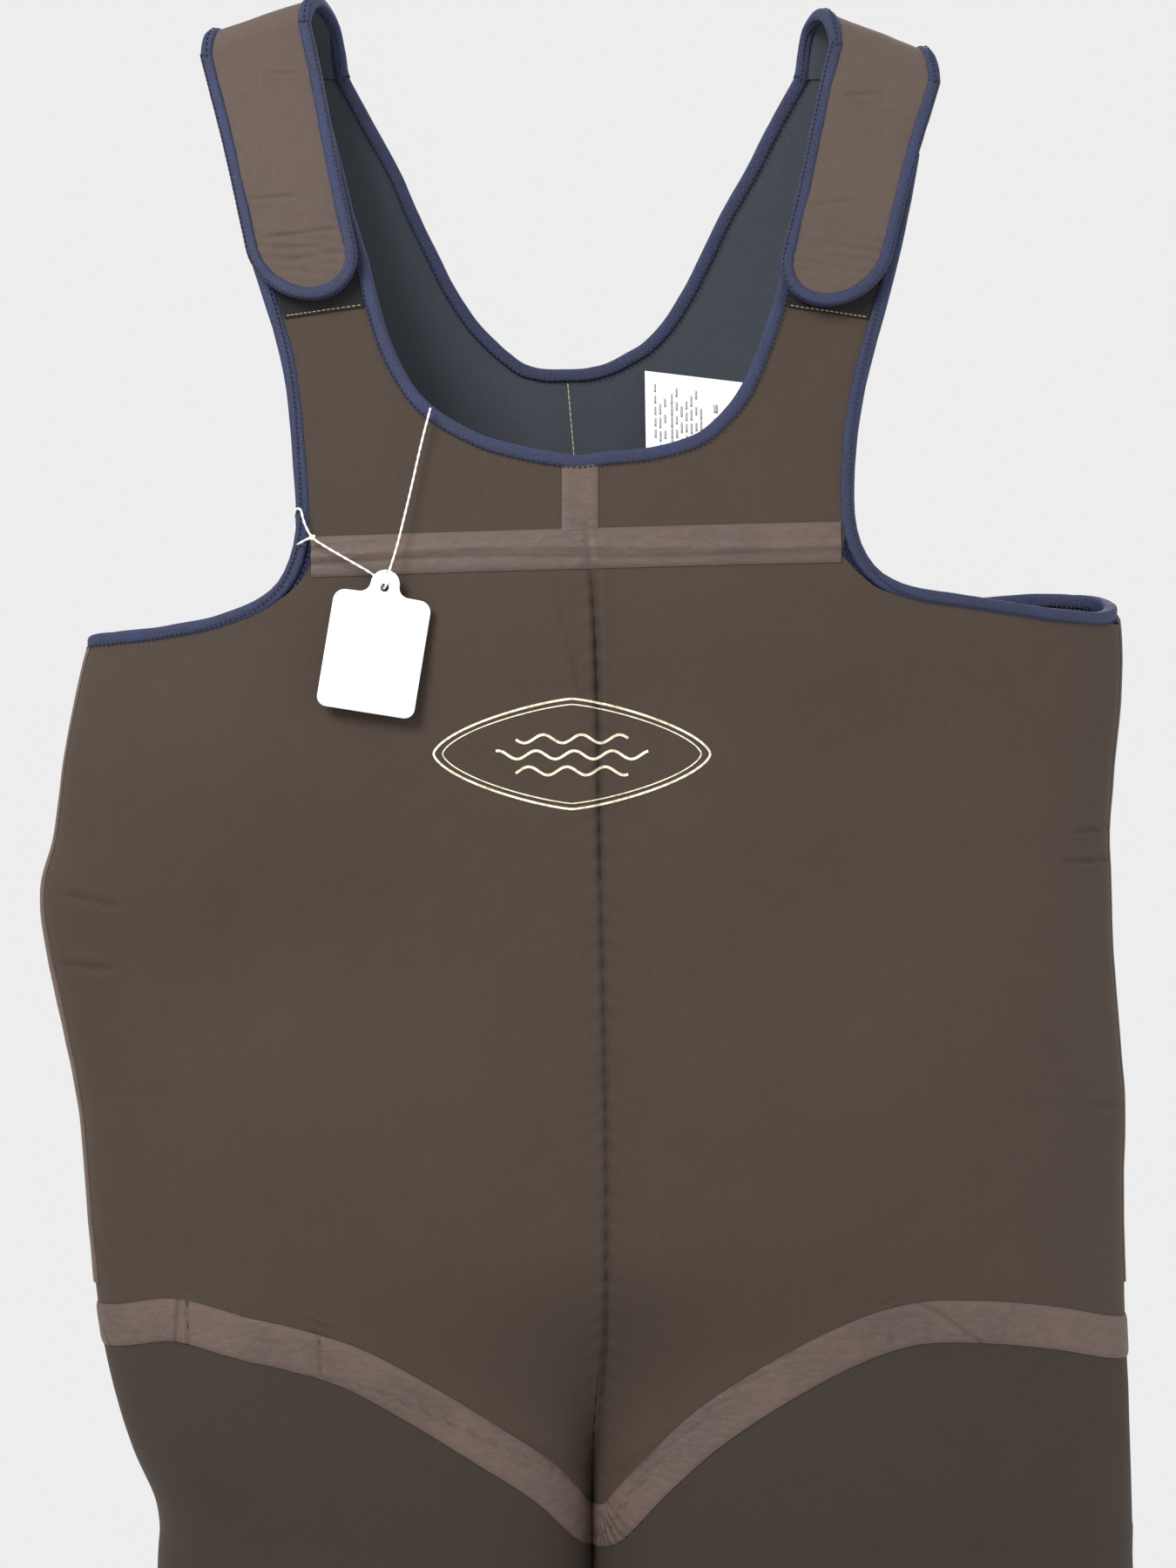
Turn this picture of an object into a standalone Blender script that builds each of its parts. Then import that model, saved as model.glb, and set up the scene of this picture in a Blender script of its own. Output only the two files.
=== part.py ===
"""Chest waders of 5 mm neoprene, hung by the shoulder straps.

Metres, +Z up, the front faces -Y.  The origin is the middle of the hanger arm that the two straps
lie over.  Names that end in _L are on the -X side and names that end in _R are on the +X side.
"""
import math

import bmesh
import bpy
import numpy as np
from mathutils import Vector

for old in list(bpy.data.objects):
    bpy.data.objects.remove(old, do_unlink=True)

# ------------------------------------------------------------------ driving dimensions
NEOPRENE = 0.005          # wall of the garment
GAP = 0.0005              # half of the gap between two panels that meet
SEAM = 0.0014             # half of the gap under the taped yoke and chest seams
LIFT = 0.0013             # clearance under a tape or a patch
HIP_LIFT = 0.0036         # under the hip tapes, which cross the turn from body to leg
TAPE = 0.0010             # thickness of seam tape
TAPE_WIDE = 0.021
BEAD = 0.0035             # radius of the edge binding
EDGE = BEAD + 0.0015      # middle of the binding off the cut edge of a panel
POWER = 2.5               # squareness of the flattened body section
LEG_POWER = 2.3           # squareness of a leg section
FOOT_POWER = 2.15
Z_CHEST = -0.2590         # seam between bib and body
Z_ARMPIT = -0.3050        # level of the armhole at the side
Z_CROTCH = -0.7570
Z_FORK = -0.6000          # where the body starts to part into two legs
Z_THIGH = -0.8600         # hip sleeve ends, thigh begins
Z_KNEE_TOP = -1.0500
Z_KNEE = -1.1100
Z_KNEE_END = -1.1700
Z_ANKLE_TOP = -1.3950
Z_ANKLE = -1.4300
Z_ANKLE_END = -1.4650
CROTCH_X = 0.0110
SIDES = {"L": -1, "R": 1}

# side seam: height, distance from the middle
SIDE_L = [(-.255, -.2310), (-.302, -.2486), (-.330, -.2554), (-.367, -.2622), (-.403, -.2667),
          (-.430, -.2735), (-.466, -.2690), (-.502, -.2608), (-.538, -.2532), (-.602, -.2486),
          (-.638, -.2455), (-.665, -.2419), (-.715, -.2283), (-.746, -.2150), (-.782, -.2125)]
SIDE_R = [(-.255, .2760), (-.291, .2825), (-.330, .2838), (-.376, .2802), (-.398, .2779),
          (-.443, .2788), (-.511, .2838), (-.541, .2856), (-.579, .2852), (-.647, .2865),
          (-.692, .2883), (-.782, .2901)]
# half thickness of the hanging body: height, distance
DEPTH = [(.02, .016), (0, .017), (-.05, .023), (-.12, .033), (-.20, .042), (-.30, .049),
         (-.45, .055), (-.60, .060), (-.80, .062)]
# leg: height, centre x, centre y, half width, half depth
LEG_L = [(-.757, -.1010, .000, .1120, .060), (-.860, -.1070, .000, .1120, .062),
         (-1.050, -.1080, .000, .1010, .058), (-1.110, -.1080, .000, .0980, .056),
         (-1.170, -.1080, .000, .0960, .055), (-1.300, -.1070, .002, .0860, .053),
         (-1.395, -.1060, .004, .0690, .052), (-1.465, -.1060, .002, .0590, .055)]
LEG_R = [(-.757, .1505, .000, .1395, .060), (-.860, .1520, .000, .1280, .062),
         (-1.050, .1500, .000, .1050, .058), (-1.110, .1500, .000, .1010, .056),
         (-1.170, .1500, .000, .0980, .055), (-1.300, .1490, .002, .0870, .053),
         (-1.395, .1480, .004, .0690, .052), (-1.465, .1480, .002, .0590, .055)]
# hip seam: distance from the centre line, height
HIP_L = [(.000, -.757), (.010, -.749), (.033, -.725), (.055, -.706), (.077, -.686), (.100, -.669),
         (.134, -.658), (.165, -.652), (.202, -.645), (.246, -.652), (.300, -.660)]
HIP_R = [(.000, -.757), (.017, -.750), (.041, -.723), (.060, -.695), (.082, -.672), (.108, -.655),
         (.139, -.645), (.183, -.644), (.229, -.649), (.275, -.659), (.330, -.664)]
# bib, height against distance: neckline from the centre up to the tab, armhole up to the tab
NECK_L = [(.0058, -.2186), (-.0026, -.2180), (-.0250, -.2141), (-.0477, -.2074), (-.0706, -.1948),
          (-.0852, -.1802), (-.0979, -.1568), (-.1065, -.1291), (-.1110, -.1109), (-.1182, -.0880),
          (-.1240, -.0650), (-.1300, -.0417)]
NECK_R = [(.0058, -.2186), (.0204, -.2166), (.0428, -.2142), (.0659, -.2073), (.0804, -.1961),
          (.0929, -.1799), (.1028, -.1568), (.1120, -.1293), (.1165, -.1090), (.1215, -.0880),
          (.1290, -.0554)]
ARM_L = [(-.0020, Z_CHEST), (-.0350, Z_CHEST), (-.0700, Z_CHEST), (-.1000, Z_CHEST),
         (-.1300, Z_CHEST), (-.1291, -.2440), (-.1311, -.2211), (-.1330, -.1989), (-.1351, -.1763),
         (-.1397, -.1532), (-.1484, -.1257), (-.1568, -.1000), (-.1670, -.0412)]
ARM_R = [(-.0020, Z_CHEST), (.0370, Z_CHEST), (.0700, Z_CHEST), (.1000, Z_CHEST),
         (.1370, Z_CHEST), (.1344, -.2440), (.1348, -.2216), (.1365, -.1990), (.1403, -.1762),
         (.1462, -.1535), (.1539, -.1263), (.1588, -.1083), (.1654, -.0809), (.1725, -.0520)]
# lower edge of the armhole: distance from the centre line, height
SCYE_L = [(.130, -.2590), (.1348, -.2730), (.1425, -.2834), (.1536, -.2905), (.1675, -.2959),
          (.1816, -.3003), (.2095, -.3045), (.2333, -.3062), (.2457, -.3083), (.300, -.3110)]
SCYE_R = [(.137, -.2590), (.1402, -.2645), (.1458, -.2721), (.1547, -.2798), (.1726, -.2851),
          (.1952, -.2878), (.2177, -.2911), (.2407, -.2944), (.2649, -.2961), (.330, -.2965)]
# back: neckline from the centre up to the strap, and armhole from the side up to the strap
BACK_NECK_L = [(-.0017, -.1632), (-.0147, -.1631), (-.0277, -.1600), (-.0379, -.1531),
               (-.0466, -.1455), (-.0572, -.1341), (-.0689, -.1165), (-.0768, -.1010),
               (-.0879, -.0786), (-.0977, -.0565), (-.1100, -.0345), (-.1245, -.0080)]
BACK_NECK_R = [(-.0017, -.1632), (.0097, -.1626), (.0222, -.1594), (.0331, -.1539),
               (.0437, -.1475), (.0557, -.1350), (.0664, -.1182), (.0754, -.1009),
               (.0863, -.0787), (.0992, -.0566), (.1106, -.0344), (.1255, -.0080)]
BACK_ARM_L = [(.300, -.3100), (.2370, -.3095), (.2220, -.3070), (.2000, -.3045), (.1800, -.3015),
              (.1640, -.2955), (.1500, -.2860), (.1400, -.2740), (.1350, -.2600), (.1325, -.2400),
              (.1325, -.2150), (.1345, -.1850), (.1390, -.1550), (.1480, -.1180), (.1590, -.0780),
              (.1680, -.0420), (.1740, -.0080)]
BACK_ARM_R = [(.300, -.2930), (.2780, -.2880), (.2630, -.2838), (.2430, -.2832), (.2200, -.2850),
              (.1950, -.2860), (.1750, -.2845), (.1600, -.2790), (.1480, -.2690), (.1410, -.2560),
              (.1380, -.2400), (.1370, -.2150), (.1385, -.1850), (.1430, -.1550), (.1510, -.1180),
              (.1610, -.0780), (.1700, -.0420), (.1740, -.0080)]
Z_YOKE = -.3400           # seam between the back yoke and the back body
FLAP_END = {"L": (-.1318, -.1235), "R": (.1300, -.1270)}
FLAP_TOP = {"L": (-.1610, .0050), "R": (.1605, -.0080)}
FLAP_HALF = .0203         # brown part, the binding adds its bead
FLAP_LIFT = .0080         # outer face of the flap above the tab, with both patches between
CREST = {"L": .33, "R": .38}    # slope of the strap tops, which lie on a falling hanger arm
# foot: centre y, centre z, tilt of the section in degrees, half width, half height
FOOT = [(.002, -1.4655, 0, .0590, .0550), (-.001, -1.4905, 14, .0560, .0568),
        (-.005, -1.5130, 28, .0500, .0610), (-.018, -1.5310, 42, .0460, .0598),
        (-.041, -1.5395, 57, .0450, .0516), (-.068, -1.5435, 74, .0455, .0436),
        (-.105, -1.5495, 86, .0485, .0370), (-.150, -1.5555, 89, .0500, .0310),
        (-.188, -1.5600, 90, .0450, .0265), (-.212, -1.5640, 90, .0330, .0210),
        (-.224, -1.5670, 90, .0180, .0130), (-.2275, -1.5680, 90, .0000, .0000)]
Z_HIP_MIDDLE = -.7000     # middle height of the slanting part of the hip seam
SOLE_THICK = .0015
KNEE_THICK = .0030
LABEL_THICK = .0006
STRING_RADIUS = .0006

# ------------------------------------------------------------------ materials and scene helpers
COLOURS = {
    "neoprene": ((.092, .070, .053), .85), "tape": ((.160, .118, .098), .80),
    "lining": ((.036, .043, .055), .90), "binding": ((.030, .052, .150), .75),
    "loop": ((.010, .010, .011), .95), "paper": ((.86, .86, .85), .70),
    "string": ((.80, .79, .76), .80), "pad": ((.060, .047, .038), .90)}
garment = bpy.data.collections.new("chest_waders")
bpy.context.scene.collection.children.link(garment)
materials = {}
for label, (rgb, rough) in COLOURS.items():
    mat = bpy.data.materials.new(label)
    mat.use_nodes = True
    shader = mat.node_tree.nodes["Principled BSDF"]
    shader.inputs["Base Color"].default_value = (*rgb, 1)
    shader.inputs["Roughness"].default_value = rough
    shader.inputs["Metallic"].default_value = 0
    mat.diffuse_color = (*rgb, 1)
    materials[label] = mat


def put(name, data, material):
    """One named sub-part with a material of its own."""
    obj = bpy.data.objects.new(name, data)
    garment.objects.link(obj)
    own = materials[material].copy()
    own.name = name
    obj.data.materials.append(own)
    return obj


def look(table, value):
    """Straight-line reading of a table of (key, value) pairs."""
    rows = sorted(table)
    return float(np.interp(value, [r[0] for r in rows], [r[1] for r in rows]))


def smooth(value):
    value = min(1.0, max(0.0, value))
    return value * value * (3 - 2 * value)


def spow(value, power):
    return math.copysign(abs(value) ** power, value)


# ------------------------------------------------------------------ shape of the garment
def centre(z):
    """Centre line of the flattened body."""
    return look([(-.16, -.0017), (-.22, .006), (-.29, .012), (-.42, .0155), (-.59, .0185),
                 (-.68, .0170), (-.757, CROTCH_X)], z)


def leg_row(side, z):
    table = LEG_L if side < 0 else LEG_R
    return [look([(row[0], row[k]) for row in table], z) for k in range(1, 5)]


def body_point(side, u, z):
    """Outer surface of one half: u = 0 centre front, 0.5 side seam, 1 centre back."""
    mid = centre(z)
    edge = look(SIDE_L if side < 0 else SIDE_R, z)
    angle = math.pi * u
    x = mid + (edge - mid) * abs(math.sin(angle)) ** (2 / POWER)
    y = -look(DEPTH, z) * spow(math.cos(angle), 2 / POWER)
    part = smooth((Z_FORK - z) / (Z_FORK - Z_CROTCH))
    if part > 0:
        cx, cy, half, deep = leg_row(side, min(z, Z_CROTCH))
        if z > Z_CROTCH:
            cx, half = (edge + CROTCH_X) / 2, abs(edge - CROTCH_X) / 2
        lx = cx - side * half * spow(math.cos(math.tau * u), 2 / LEG_POWER)
        ly = cy - deep * spow(math.sin(math.tau * u), 2 / LEG_POWER)
        x, y = x + (lx - x) * part, y + (ly - y) * part
    return np.array([x + side * GAP, y, z])


def leg_point(side, u, z):
    """Outer surface of one leg below the crotch, u = 0 on the inseam."""
    cx, cy, half, deep = leg_row(side, z)
    x = cx - side * half * spow(math.cos(math.tau * u), 2 / LEG_POWER)
    y = cy - deep * spow(math.sin(math.tau * u), 2 / LEG_POWER)
    return np.array([x + side * GAP, y, z])


def half_point(side, u, z):
    return body_point(side, u, z) if z > Z_CROTCH else leg_point(side, u, z)


def wall(x, z, face):
    """Outer surface over a place (x, z) of bib or yoke, with face -1 in front and +1 behind."""
    mid = centre(z)
    edge = look(SIDE_L if x < mid else SIDE_R, z)
    share = min(.999, abs((x - mid) / (edge - mid)))
    return np.array([x, face * look(DEPTH, z) * (1 - share ** POWER) ** (1 / POWER), z])


def normal(shape, a, b, out):
    """Unit normal of a mapped surface, turned to the side that out(point) names."""
    step = 1e-3
    da = shape(min(1, a + step), b) - shape(max(0, a - step), b)
    db = shape(a, min(1, b + step)) - shape(a, max(0, b - step))
    n = np.cross(da, db)
    size = np.linalg.norm(n)
    n = out(a, b) if size < 1e-12 else n / size
    return n if np.dot(n, out(a, b)) >= 0 else -n


def face_front(a, b):
    return np.array([0, -1, 0])


def face_back(a, b):
    return np.array([0, 1, 0])


def raised(shape, lift, out):
    """The same surface moved off by lift along its normal."""
    return lambda a, b: shape(a, b) + normal(shape, a, b, out) * lift


def shell(name, shape, cols, rows, thick, out, material, closed=False, inward=True):
    """A grid bent onto shape(a, b) and extruded square to it, behind it when inward is set."""
    bm = bmesh.new()
    bmesh.ops.create_grid(bm, x_segments=len(cols) - 1, y_segments=len(rows) - 1, size=.5)
    across, down = bm.verts.layers.float.new("a"), bm.verts.layers.float.new("b")
    for vert in bm.verts:
        vert[across] = cols[round((vert.co.x + .5) * (len(cols) - 1))]
        vert[down] = rows[round((vert.co.y + .5) * (len(rows) - 1))]
        vert.co = shape(vert[across], vert[down])
    if closed:
        bmesh.ops.remove_doubles(bm, verts=bm.verts, dist=2e-5)
    grown = bmesh.ops.extrude_face_region(bm, geom=bm.faces[:], use_keep_orig=True)["geom"]
    for vert in grown:
        if isinstance(vert, bmesh.types.BMVert):
            way = normal(shape, vert[across], vert[down], out)
            vert.co = vert.co + Vector(way) * (-thick if inward else thick)
    bmesh.ops.recalc_face_normals(bm, faces=bm.faces)
    mesh = bpy.data.meshes.new(name)
    bm.to_mesh(mesh)
    bm.free()
    return put(name, mesh, material)


def bead(name, points, radius, material, cyclic=False, rings=1):
    """A round cord or binding along a polyline."""
    curve = bpy.data.curves.new(name, "CURVE")
    curve.dimensions = "3D"
    spline = curve.splines.new("POLY")
    spline.points.add(len(points) - 1)
    for slot, point in zip(spline.points, points):
        slot.co = (*point, 1)
    spline.use_cyclic_u = cyclic
    curve.bevel_depth = radius
    curve.bevel_resolution = rings
    curve.use_fill_caps = not cyclic
    return put(name, curve, material)


def steps(start, end, count):
    return [start + (end - start) * k / count for k in range(count + 1)]


def along(points, count):
    """count + 1 places evenly spaced by length on a polyline."""
    pts = np.array(points, float)
    run = np.concatenate([[0], np.cumsum(np.linalg.norm(np.diff(pts, axis=0), axis=1))])
    spots = np.linspace(0, run[-1], count + 1)
    return np.stack([np.interp(spots, run, pts[:, k]) for k in range(pts.shape[1])], axis=1)


def flowing(points, count):
    """count + 1 places on a smooth curve through the given points."""
    pts = np.array(points, float)
    pts = np.vstack([2 * pts[0] - pts[1], pts, 2 * pts[-1] - pts[-2]])
    fine = []
    for k in range(1, len(pts) - 2):
        a, b, c, d = pts[k - 1:k + 3]
        for t in np.linspace(0, 1, 12, endpoint=False):
            bend = (2 * a - 5 * b + 4 * c - d) * t * t + (3 * b - a - 3 * c + d) * t ** 3
            fine.append(.5 * (2 * b + (c - a) * t + bend))
    return along(fine + [pts[-2]], count)


def hip_height(side, u):
    """Height of the hip seam at u of the upper half section."""
    table = HIP_L if side < 0 else HIP_R
    level = look(table, abs(body_point(side, u, Z_HIP_MIDDLE)[0] - CROTCH_X))
    level += (Z_HIP_MIDDLE - level) / 4
    return look(table, abs(body_point(side, u, level)[0] - CROTCH_X))


def scye_height(side, u):
    """Height of the top edge of the front body at u, the chest seam or the armhole."""
    table = SCYE_L if side < 0 else SCYE_R
    reach = abs(body_point(side, u, -.28)[0])
    return look(table, reach) - (.0012 if reach > table[0][0] else 0)


U_FRONT = [0, .03, .07, .12, .17, .22, .28, .33, .38, .42, .455, .48, .5]
U_BACK = [1 - u for u in reversed(U_FRONT)]
U_RING = U_FRONT + U_BACK[1:]

# ------------------------------------------------------------------ body, legs and feet
for tag, side in SIDES.items():
    def outward(u, z, side=side):
        """Rough outward direction of a half section."""
        if z > Z_FORK:
            return np.array([side * math.sin(math.pi * u) * .4, -math.cos(math.pi * u), 0])
        fork = np.array([-side * math.cos(math.tau * u), -math.sin(math.tau * u), 0])
        if z < Z_CROTCH:
            return fork
        flat = np.array([side * math.sin(math.pi * u) * .4, -math.cos(math.pi * u), 0])
        return flat + (fork - flat) * smooth((Z_FORK - z) / (Z_FORK - Z_CROTCH))

    def front_map(u, v, side=side):
        high, low = scye_height(side, u) - SEAM, hip_height(side, u) + 1.5 * SEAM
        point = body_point(side, u, high + (low - high) * v)
        point[1] -= GAP * smooth((u - .4) * 10)
        return point

    def back_map(u, v, side=side):
        high, low = Z_YOKE - SEAM, hip_height(side, u) + 1.5 * SEAM
        point = body_point(side, u, high + (low - high) * v)
        point[1] += GAP * smooth((.6 - u) * 10)
        return point

    def map_out(u, v, outward=outward, side=side):
        return outward(u, -.3 + (hip_height(side, u) + .3) * v)

    shell("front_body_" + tag, front_map, U_FRONT, steps(0, 1, 8), NEOPRENE, map_out, "neoprene")
    shell("back_body_" + tag, back_map, U_BACK, steps(0, 1, 8), NEOPRENE, map_out, "neoprene")

    def sleeve(z_high, z_low, side=side):
        return lambda u, v: half_point(side, u, z_high + (z_low - z_high) * v)

    def sleeve_out(z, outward=outward):
        return lambda u, v: outward(u, z)

    def hip_map(u, v, side=side):
        high = hip_height(side, u) - 1.5 * SEAM
        return half_point(side, u, high + (Z_THIGH + GAP - high) * v)

    shell("hip_sleeve_" + tag, hip_map, U_RING, steps(0, 1, 5), NEOPRENE, sleeve_out(-.80),
          "neoprene", closed=True)
    for name, high, low, rows in (("thigh_", Z_THIGH, Z_KNEE_TOP, 2),
                                  ("knee_sleeve_", Z_KNEE_TOP, Z_KNEE_END, 2),
                                  ("shin_", Z_KNEE_END, Z_ANKLE_TOP, 3),
                                  ("ankle_sleeve_", Z_ANKLE_TOP, Z_ANKLE_END, 2)):
        shell(name + tag, sleeve(high - GAP, low + GAP), U_RING, steps(0, 1, rows), NEOPRENE,
              sleeve_out(high - .05), "neoprene", closed=True)

    foot_x = leg_row(side, Z_ANKLE_END)[0]

    def foot_map(u, v, foot_x=foot_x, side=side):
        place = v * (len(FOOT) - 1)
        cy, cz, tilt, half, high = [np.interp(place, range(len(FOOT)), [r[k] for r in FOOT])
                                    for k in range(5)]
        back = -spow(math.sin(math.tau * u), 2 / FOOT_POWER) * high
        x = foot_x - side * half * spow(math.cos(math.tau * u), 2 / FOOT_POWER)
        tilt = math.radians(tilt)
        return np.array([x + side * GAP, cy + back * math.cos(tilt), cz - back * math.sin(tilt)])

    def foot_out(u, v, side=side):
        tilt = math.radians(90 * min(1, v * 1.8))
        back = -math.sin(math.tau * u)
        across = -side * math.cos(math.tau * u)
        return np.array([across, back * math.cos(tilt), -back * math.sin(tilt)])

    shell("foot_" + tag, foot_map, U_RING, steps(0, 1, 11), NEOPRENE, foot_out, "neoprene",
          closed=True)
    shell("sole_patch_" + tag, raised(foot_map, LIFT, foot_out), U_RING[14:21],
          [k / 11 for k in range(3, 10)], SOLE_THICK, foot_out, "pad", inward=False)
    knee = sleeve(Z_KNEE_TOP - GAP, Z_KNEE_END + GAP)
    shell("knee_patch_" + tag, raised(knee, LIFT, sleeve_out(Z_KNEE)), U_RING[3:9],
          steps(.06, .94, 2), KNEE_THICK, sleeve_out(Z_KNEE), "pad", inward=False)

    # seam tapes that run down the half section
    def hip_tape(u, v, side=side):
        slope = (hip_height(side, u + .004) - hip_height(side, u - .004))
        slope /= np.linalg.norm(body_point(side, u + .004, -.68) - body_point(side, u - .004, -.68))
        tall = TAPE_WIDE * math.sqrt(1 + min(2.2, slope * slope))
        return half_point(side, u, hip_height(side, u) + tall * (.5 - v))

    def hip_out(u, v, outward=outward, side=side):
        return outward(u, hip_height(side, u))

    taped = raised(hip_tape, HIP_LIFT, hip_out)
    shell("hip_tape_front_" + tag, taped, [.050] + U_FRONT[2:11], steps(0, 1, 3), TAPE,
          hip_out, "tape", inward=False)
    shell("hip_tape_back_" + tag, taped, U_BACK[2:11] + [.950], steps(0, 1, 3), TAPE,
          hip_out, "tape", inward=False)
    side_run = sleeve(-.312, -.633)
    shell("side_tape_" + tag, raised(side_run, LIFT, sleeve_out(-.45)), [.48, .5, .52],
          steps(0, 1, 11), TAPE, sleeve_out(-.45), "tape", inward=False)
    for name, high, low, rows in (("thigh_tape_", -.865, -1.045, 4), ("shin_tape_", -1.175, -1.39, 5)):
        run = sleeve(high, low)

        def inseam(a, v, run=run):
            return run(a % 1, v)

        def inseam_out(a, v, outward=outward, high=high):
            return outward(a % 1, high)

        def lifted(a, v, inseam=inseam, side=side):
            point = inseam(a, v)
            point[0] -= side * LIFT
            return point

        shell(name + tag, lifted, [.98, 1, 1.02], steps(0, 1, rows), TAPE, inseam_out, "tape",
              inward=False)

# ------------------------------------------------------------------ bib, yoke and straps
BIB_COUNT = 20
YOKE_COUNT = 28           # steps round the yoke, of them those along its seam and up its middle
YOKE_LOW = 9
YOKE_MIDDLE = 6
ARM_CORNER = 8            # point of the back armhole where it turns up
neck_lines, arm_lines, inner_lines, outer_lines = {}, {}, {}, {}
for tag, side in SIDES.items():
    neck = along(NECK_L if side < 0 else NECK_R, BIB_COUNT)
    arm_table = list(ARM_L if side < 0 else ARM_R)
    arm_table[0] = (centre(Z_CHEST), Z_CHEST)
    corner = 8
    arm = np.concatenate([along(arm_table[:5], corner)[:-1],
                          along(arm_table[4:], BIB_COUNT - corner)])
    arm[:, 1] += GAP * np.clip((-.25 - arm[:, 1]) * 100, 0, 1)
    neck_lines[tag], arm_lines[tag] = neck, arm

    def bib_map(a, t, neck=neck, arm=arm, side=side):
        at = t * BIB_COUNT
        spots = range(BIB_COUNT + 1)
        inner = np.array([np.interp(at, spots, neck[:, k]) for k in (0, 1)])
        outer = np.array([np.interp(at, spots, arm[:, k]) for k in (0, 1)])
        x, z = inner + (outer - inner) * a
        return wall(x, z, -1) + np.array([side * GAP, 0, 0])

    shell("front_bib_" + tag, bib_map, steps(0, 1, 5), steps(0, 1, BIB_COUNT), NEOPRENE,
          face_front, "neoprene")

    # loop patch on the tab, just under the end of the flap
    shell("loop_patch_" + tag, raised(bib_map, .0004, face_front), steps(.06, .94, 3),
          [k / BIB_COUNT for k in range(BIB_COUNT - 6, BIB_COUNT + 1)], .0014, face_front, "loop",
          inward=False)

    # back yoke: from the armhole to the yoke seam, the middle of the back and the neckline
    edge = SIDE_L if side < 0 else SIDE_R
    low_line = [(body_point(side, 1 - u, Z_YOKE)[0], Z_YOKE + 2 * SEAM) for u in U_FRONT[-2:0:-1]]
    low_line.append((centre(Z_YOKE) + side * GAP, Z_YOKE + 2 * SEAM))
    neck_line = [(x + side * GAP, z) for x, z in (BACK_NECK_L if side < 0 else BACK_NECK_R)]
    back_arm = BACK_ARM_L if side < 0 else BACK_ARM_R
    side_top = back_arm[0][1]
    arm_side = [(look(edge, side_top) - side * .0008, side_top)]
    arm_side += [(side * x, z) for x, z in back_arm[1:]]
    inner = np.concatenate([along(low_line, YOKE_LOW)[:-1],
                            along([low_line[-1], neck_line[0]], YOKE_MIDDLE)[:-1],
                            along(neck_line, YOKE_COUNT - YOKE_LOW - YOKE_MIDDLE)])
    outer = np.concatenate([along(arm_side[:ARM_CORNER + 1], YOKE_LOW)[:-1],
                            along(arm_side[ARM_CORNER:], YOKE_COUNT - YOKE_LOW)])
    inner_lines[tag], outer_lines[tag] = inner, outer

    def yoke_map(a, t, inner=inner, outer=outer):
        at = t * YOKE_COUNT
        spots = range(YOKE_COUNT + 1)
        p = np.array([np.interp(at, spots, inner[:, k]) for k in (0, 1)])
        q = np.array([np.interp(at, spots, outer[:, k]) for k in (0, 1)])
        x, z = p + (q - p) * a
        return wall(x, z, 1)

    shell("back_yoke_" + tag, yoke_map, steps(0, 1, 5), steps(0, 1, YOKE_COUNT), NEOPRENE, face_back,
          "neoprene")

# chest seam tape, short centre tape and the tape down the middle of the back
def chest_run(a, v):
    x = -.1280 + .2580 * a
    return wall(x, Z_CHEST - .0015 + .0035 * a - .0100 + .0200 * v, -1)


def centre_run(a, v):
    return wall(-.0040 + .0185 * a, -.2290 - .0190 * v, -1)


def back_run(a, v):
    z = -.1700 - .4400 * v
    return wall(centre(z) - .0100 + .0200 * a, z, 1)


shell("chest_tape", raised(chest_run, LIFT, face_front), steps(0, 1, 14), steps(0, 1, 2), TAPE,
      face_front, "tape", inward=False)
shell("centre_tape", raised(centre_run, LIFT, face_front), steps(0, 1, 2), steps(0, 1, 2), TAPE,
      face_front, "tape", inward=False)
shell("back_seam_tape", raised(back_run, LIFT, face_back), steps(0, 1, 2), steps(0, 1, 12), TAPE,
      face_back, "tape", inward=False)
for tag, side in SIDES.items():
    def yoke_run(u, v, side=side):
        return body_point(side, u, Z_YOKE + .0110 - .0200 * v)

    def yoke_out(u, v, side=side):
        return np.array([side * math.sin(math.pi * u) * .4, -math.cos(math.pi * u), 0])

    shell("yoke_tape_" + tag, raised(yoke_run, LIFT, yoke_out), U_BACK[3:10] + [.955],
          steps(0, 1, 2), TAPE, yoke_out, "tape", inward=False)


def rim(points, face, out_by, deep=NEOPRENE / 2):
    """A line of (x, z) moved outward in its own plane and set half way into the wall."""
    line = np.array(points, float)
    lead = np.gradient(line, axis=0)
    lead /= np.linalg.norm(lead, axis=1)[:, None]
    shifted = line + np.stack([lead[:, 1], -lead[:, 0]], axis=1) * out_by
    return [wall(x, z, face) - np.array([0, face * deep, 0]) for x, z in shifted]


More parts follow.
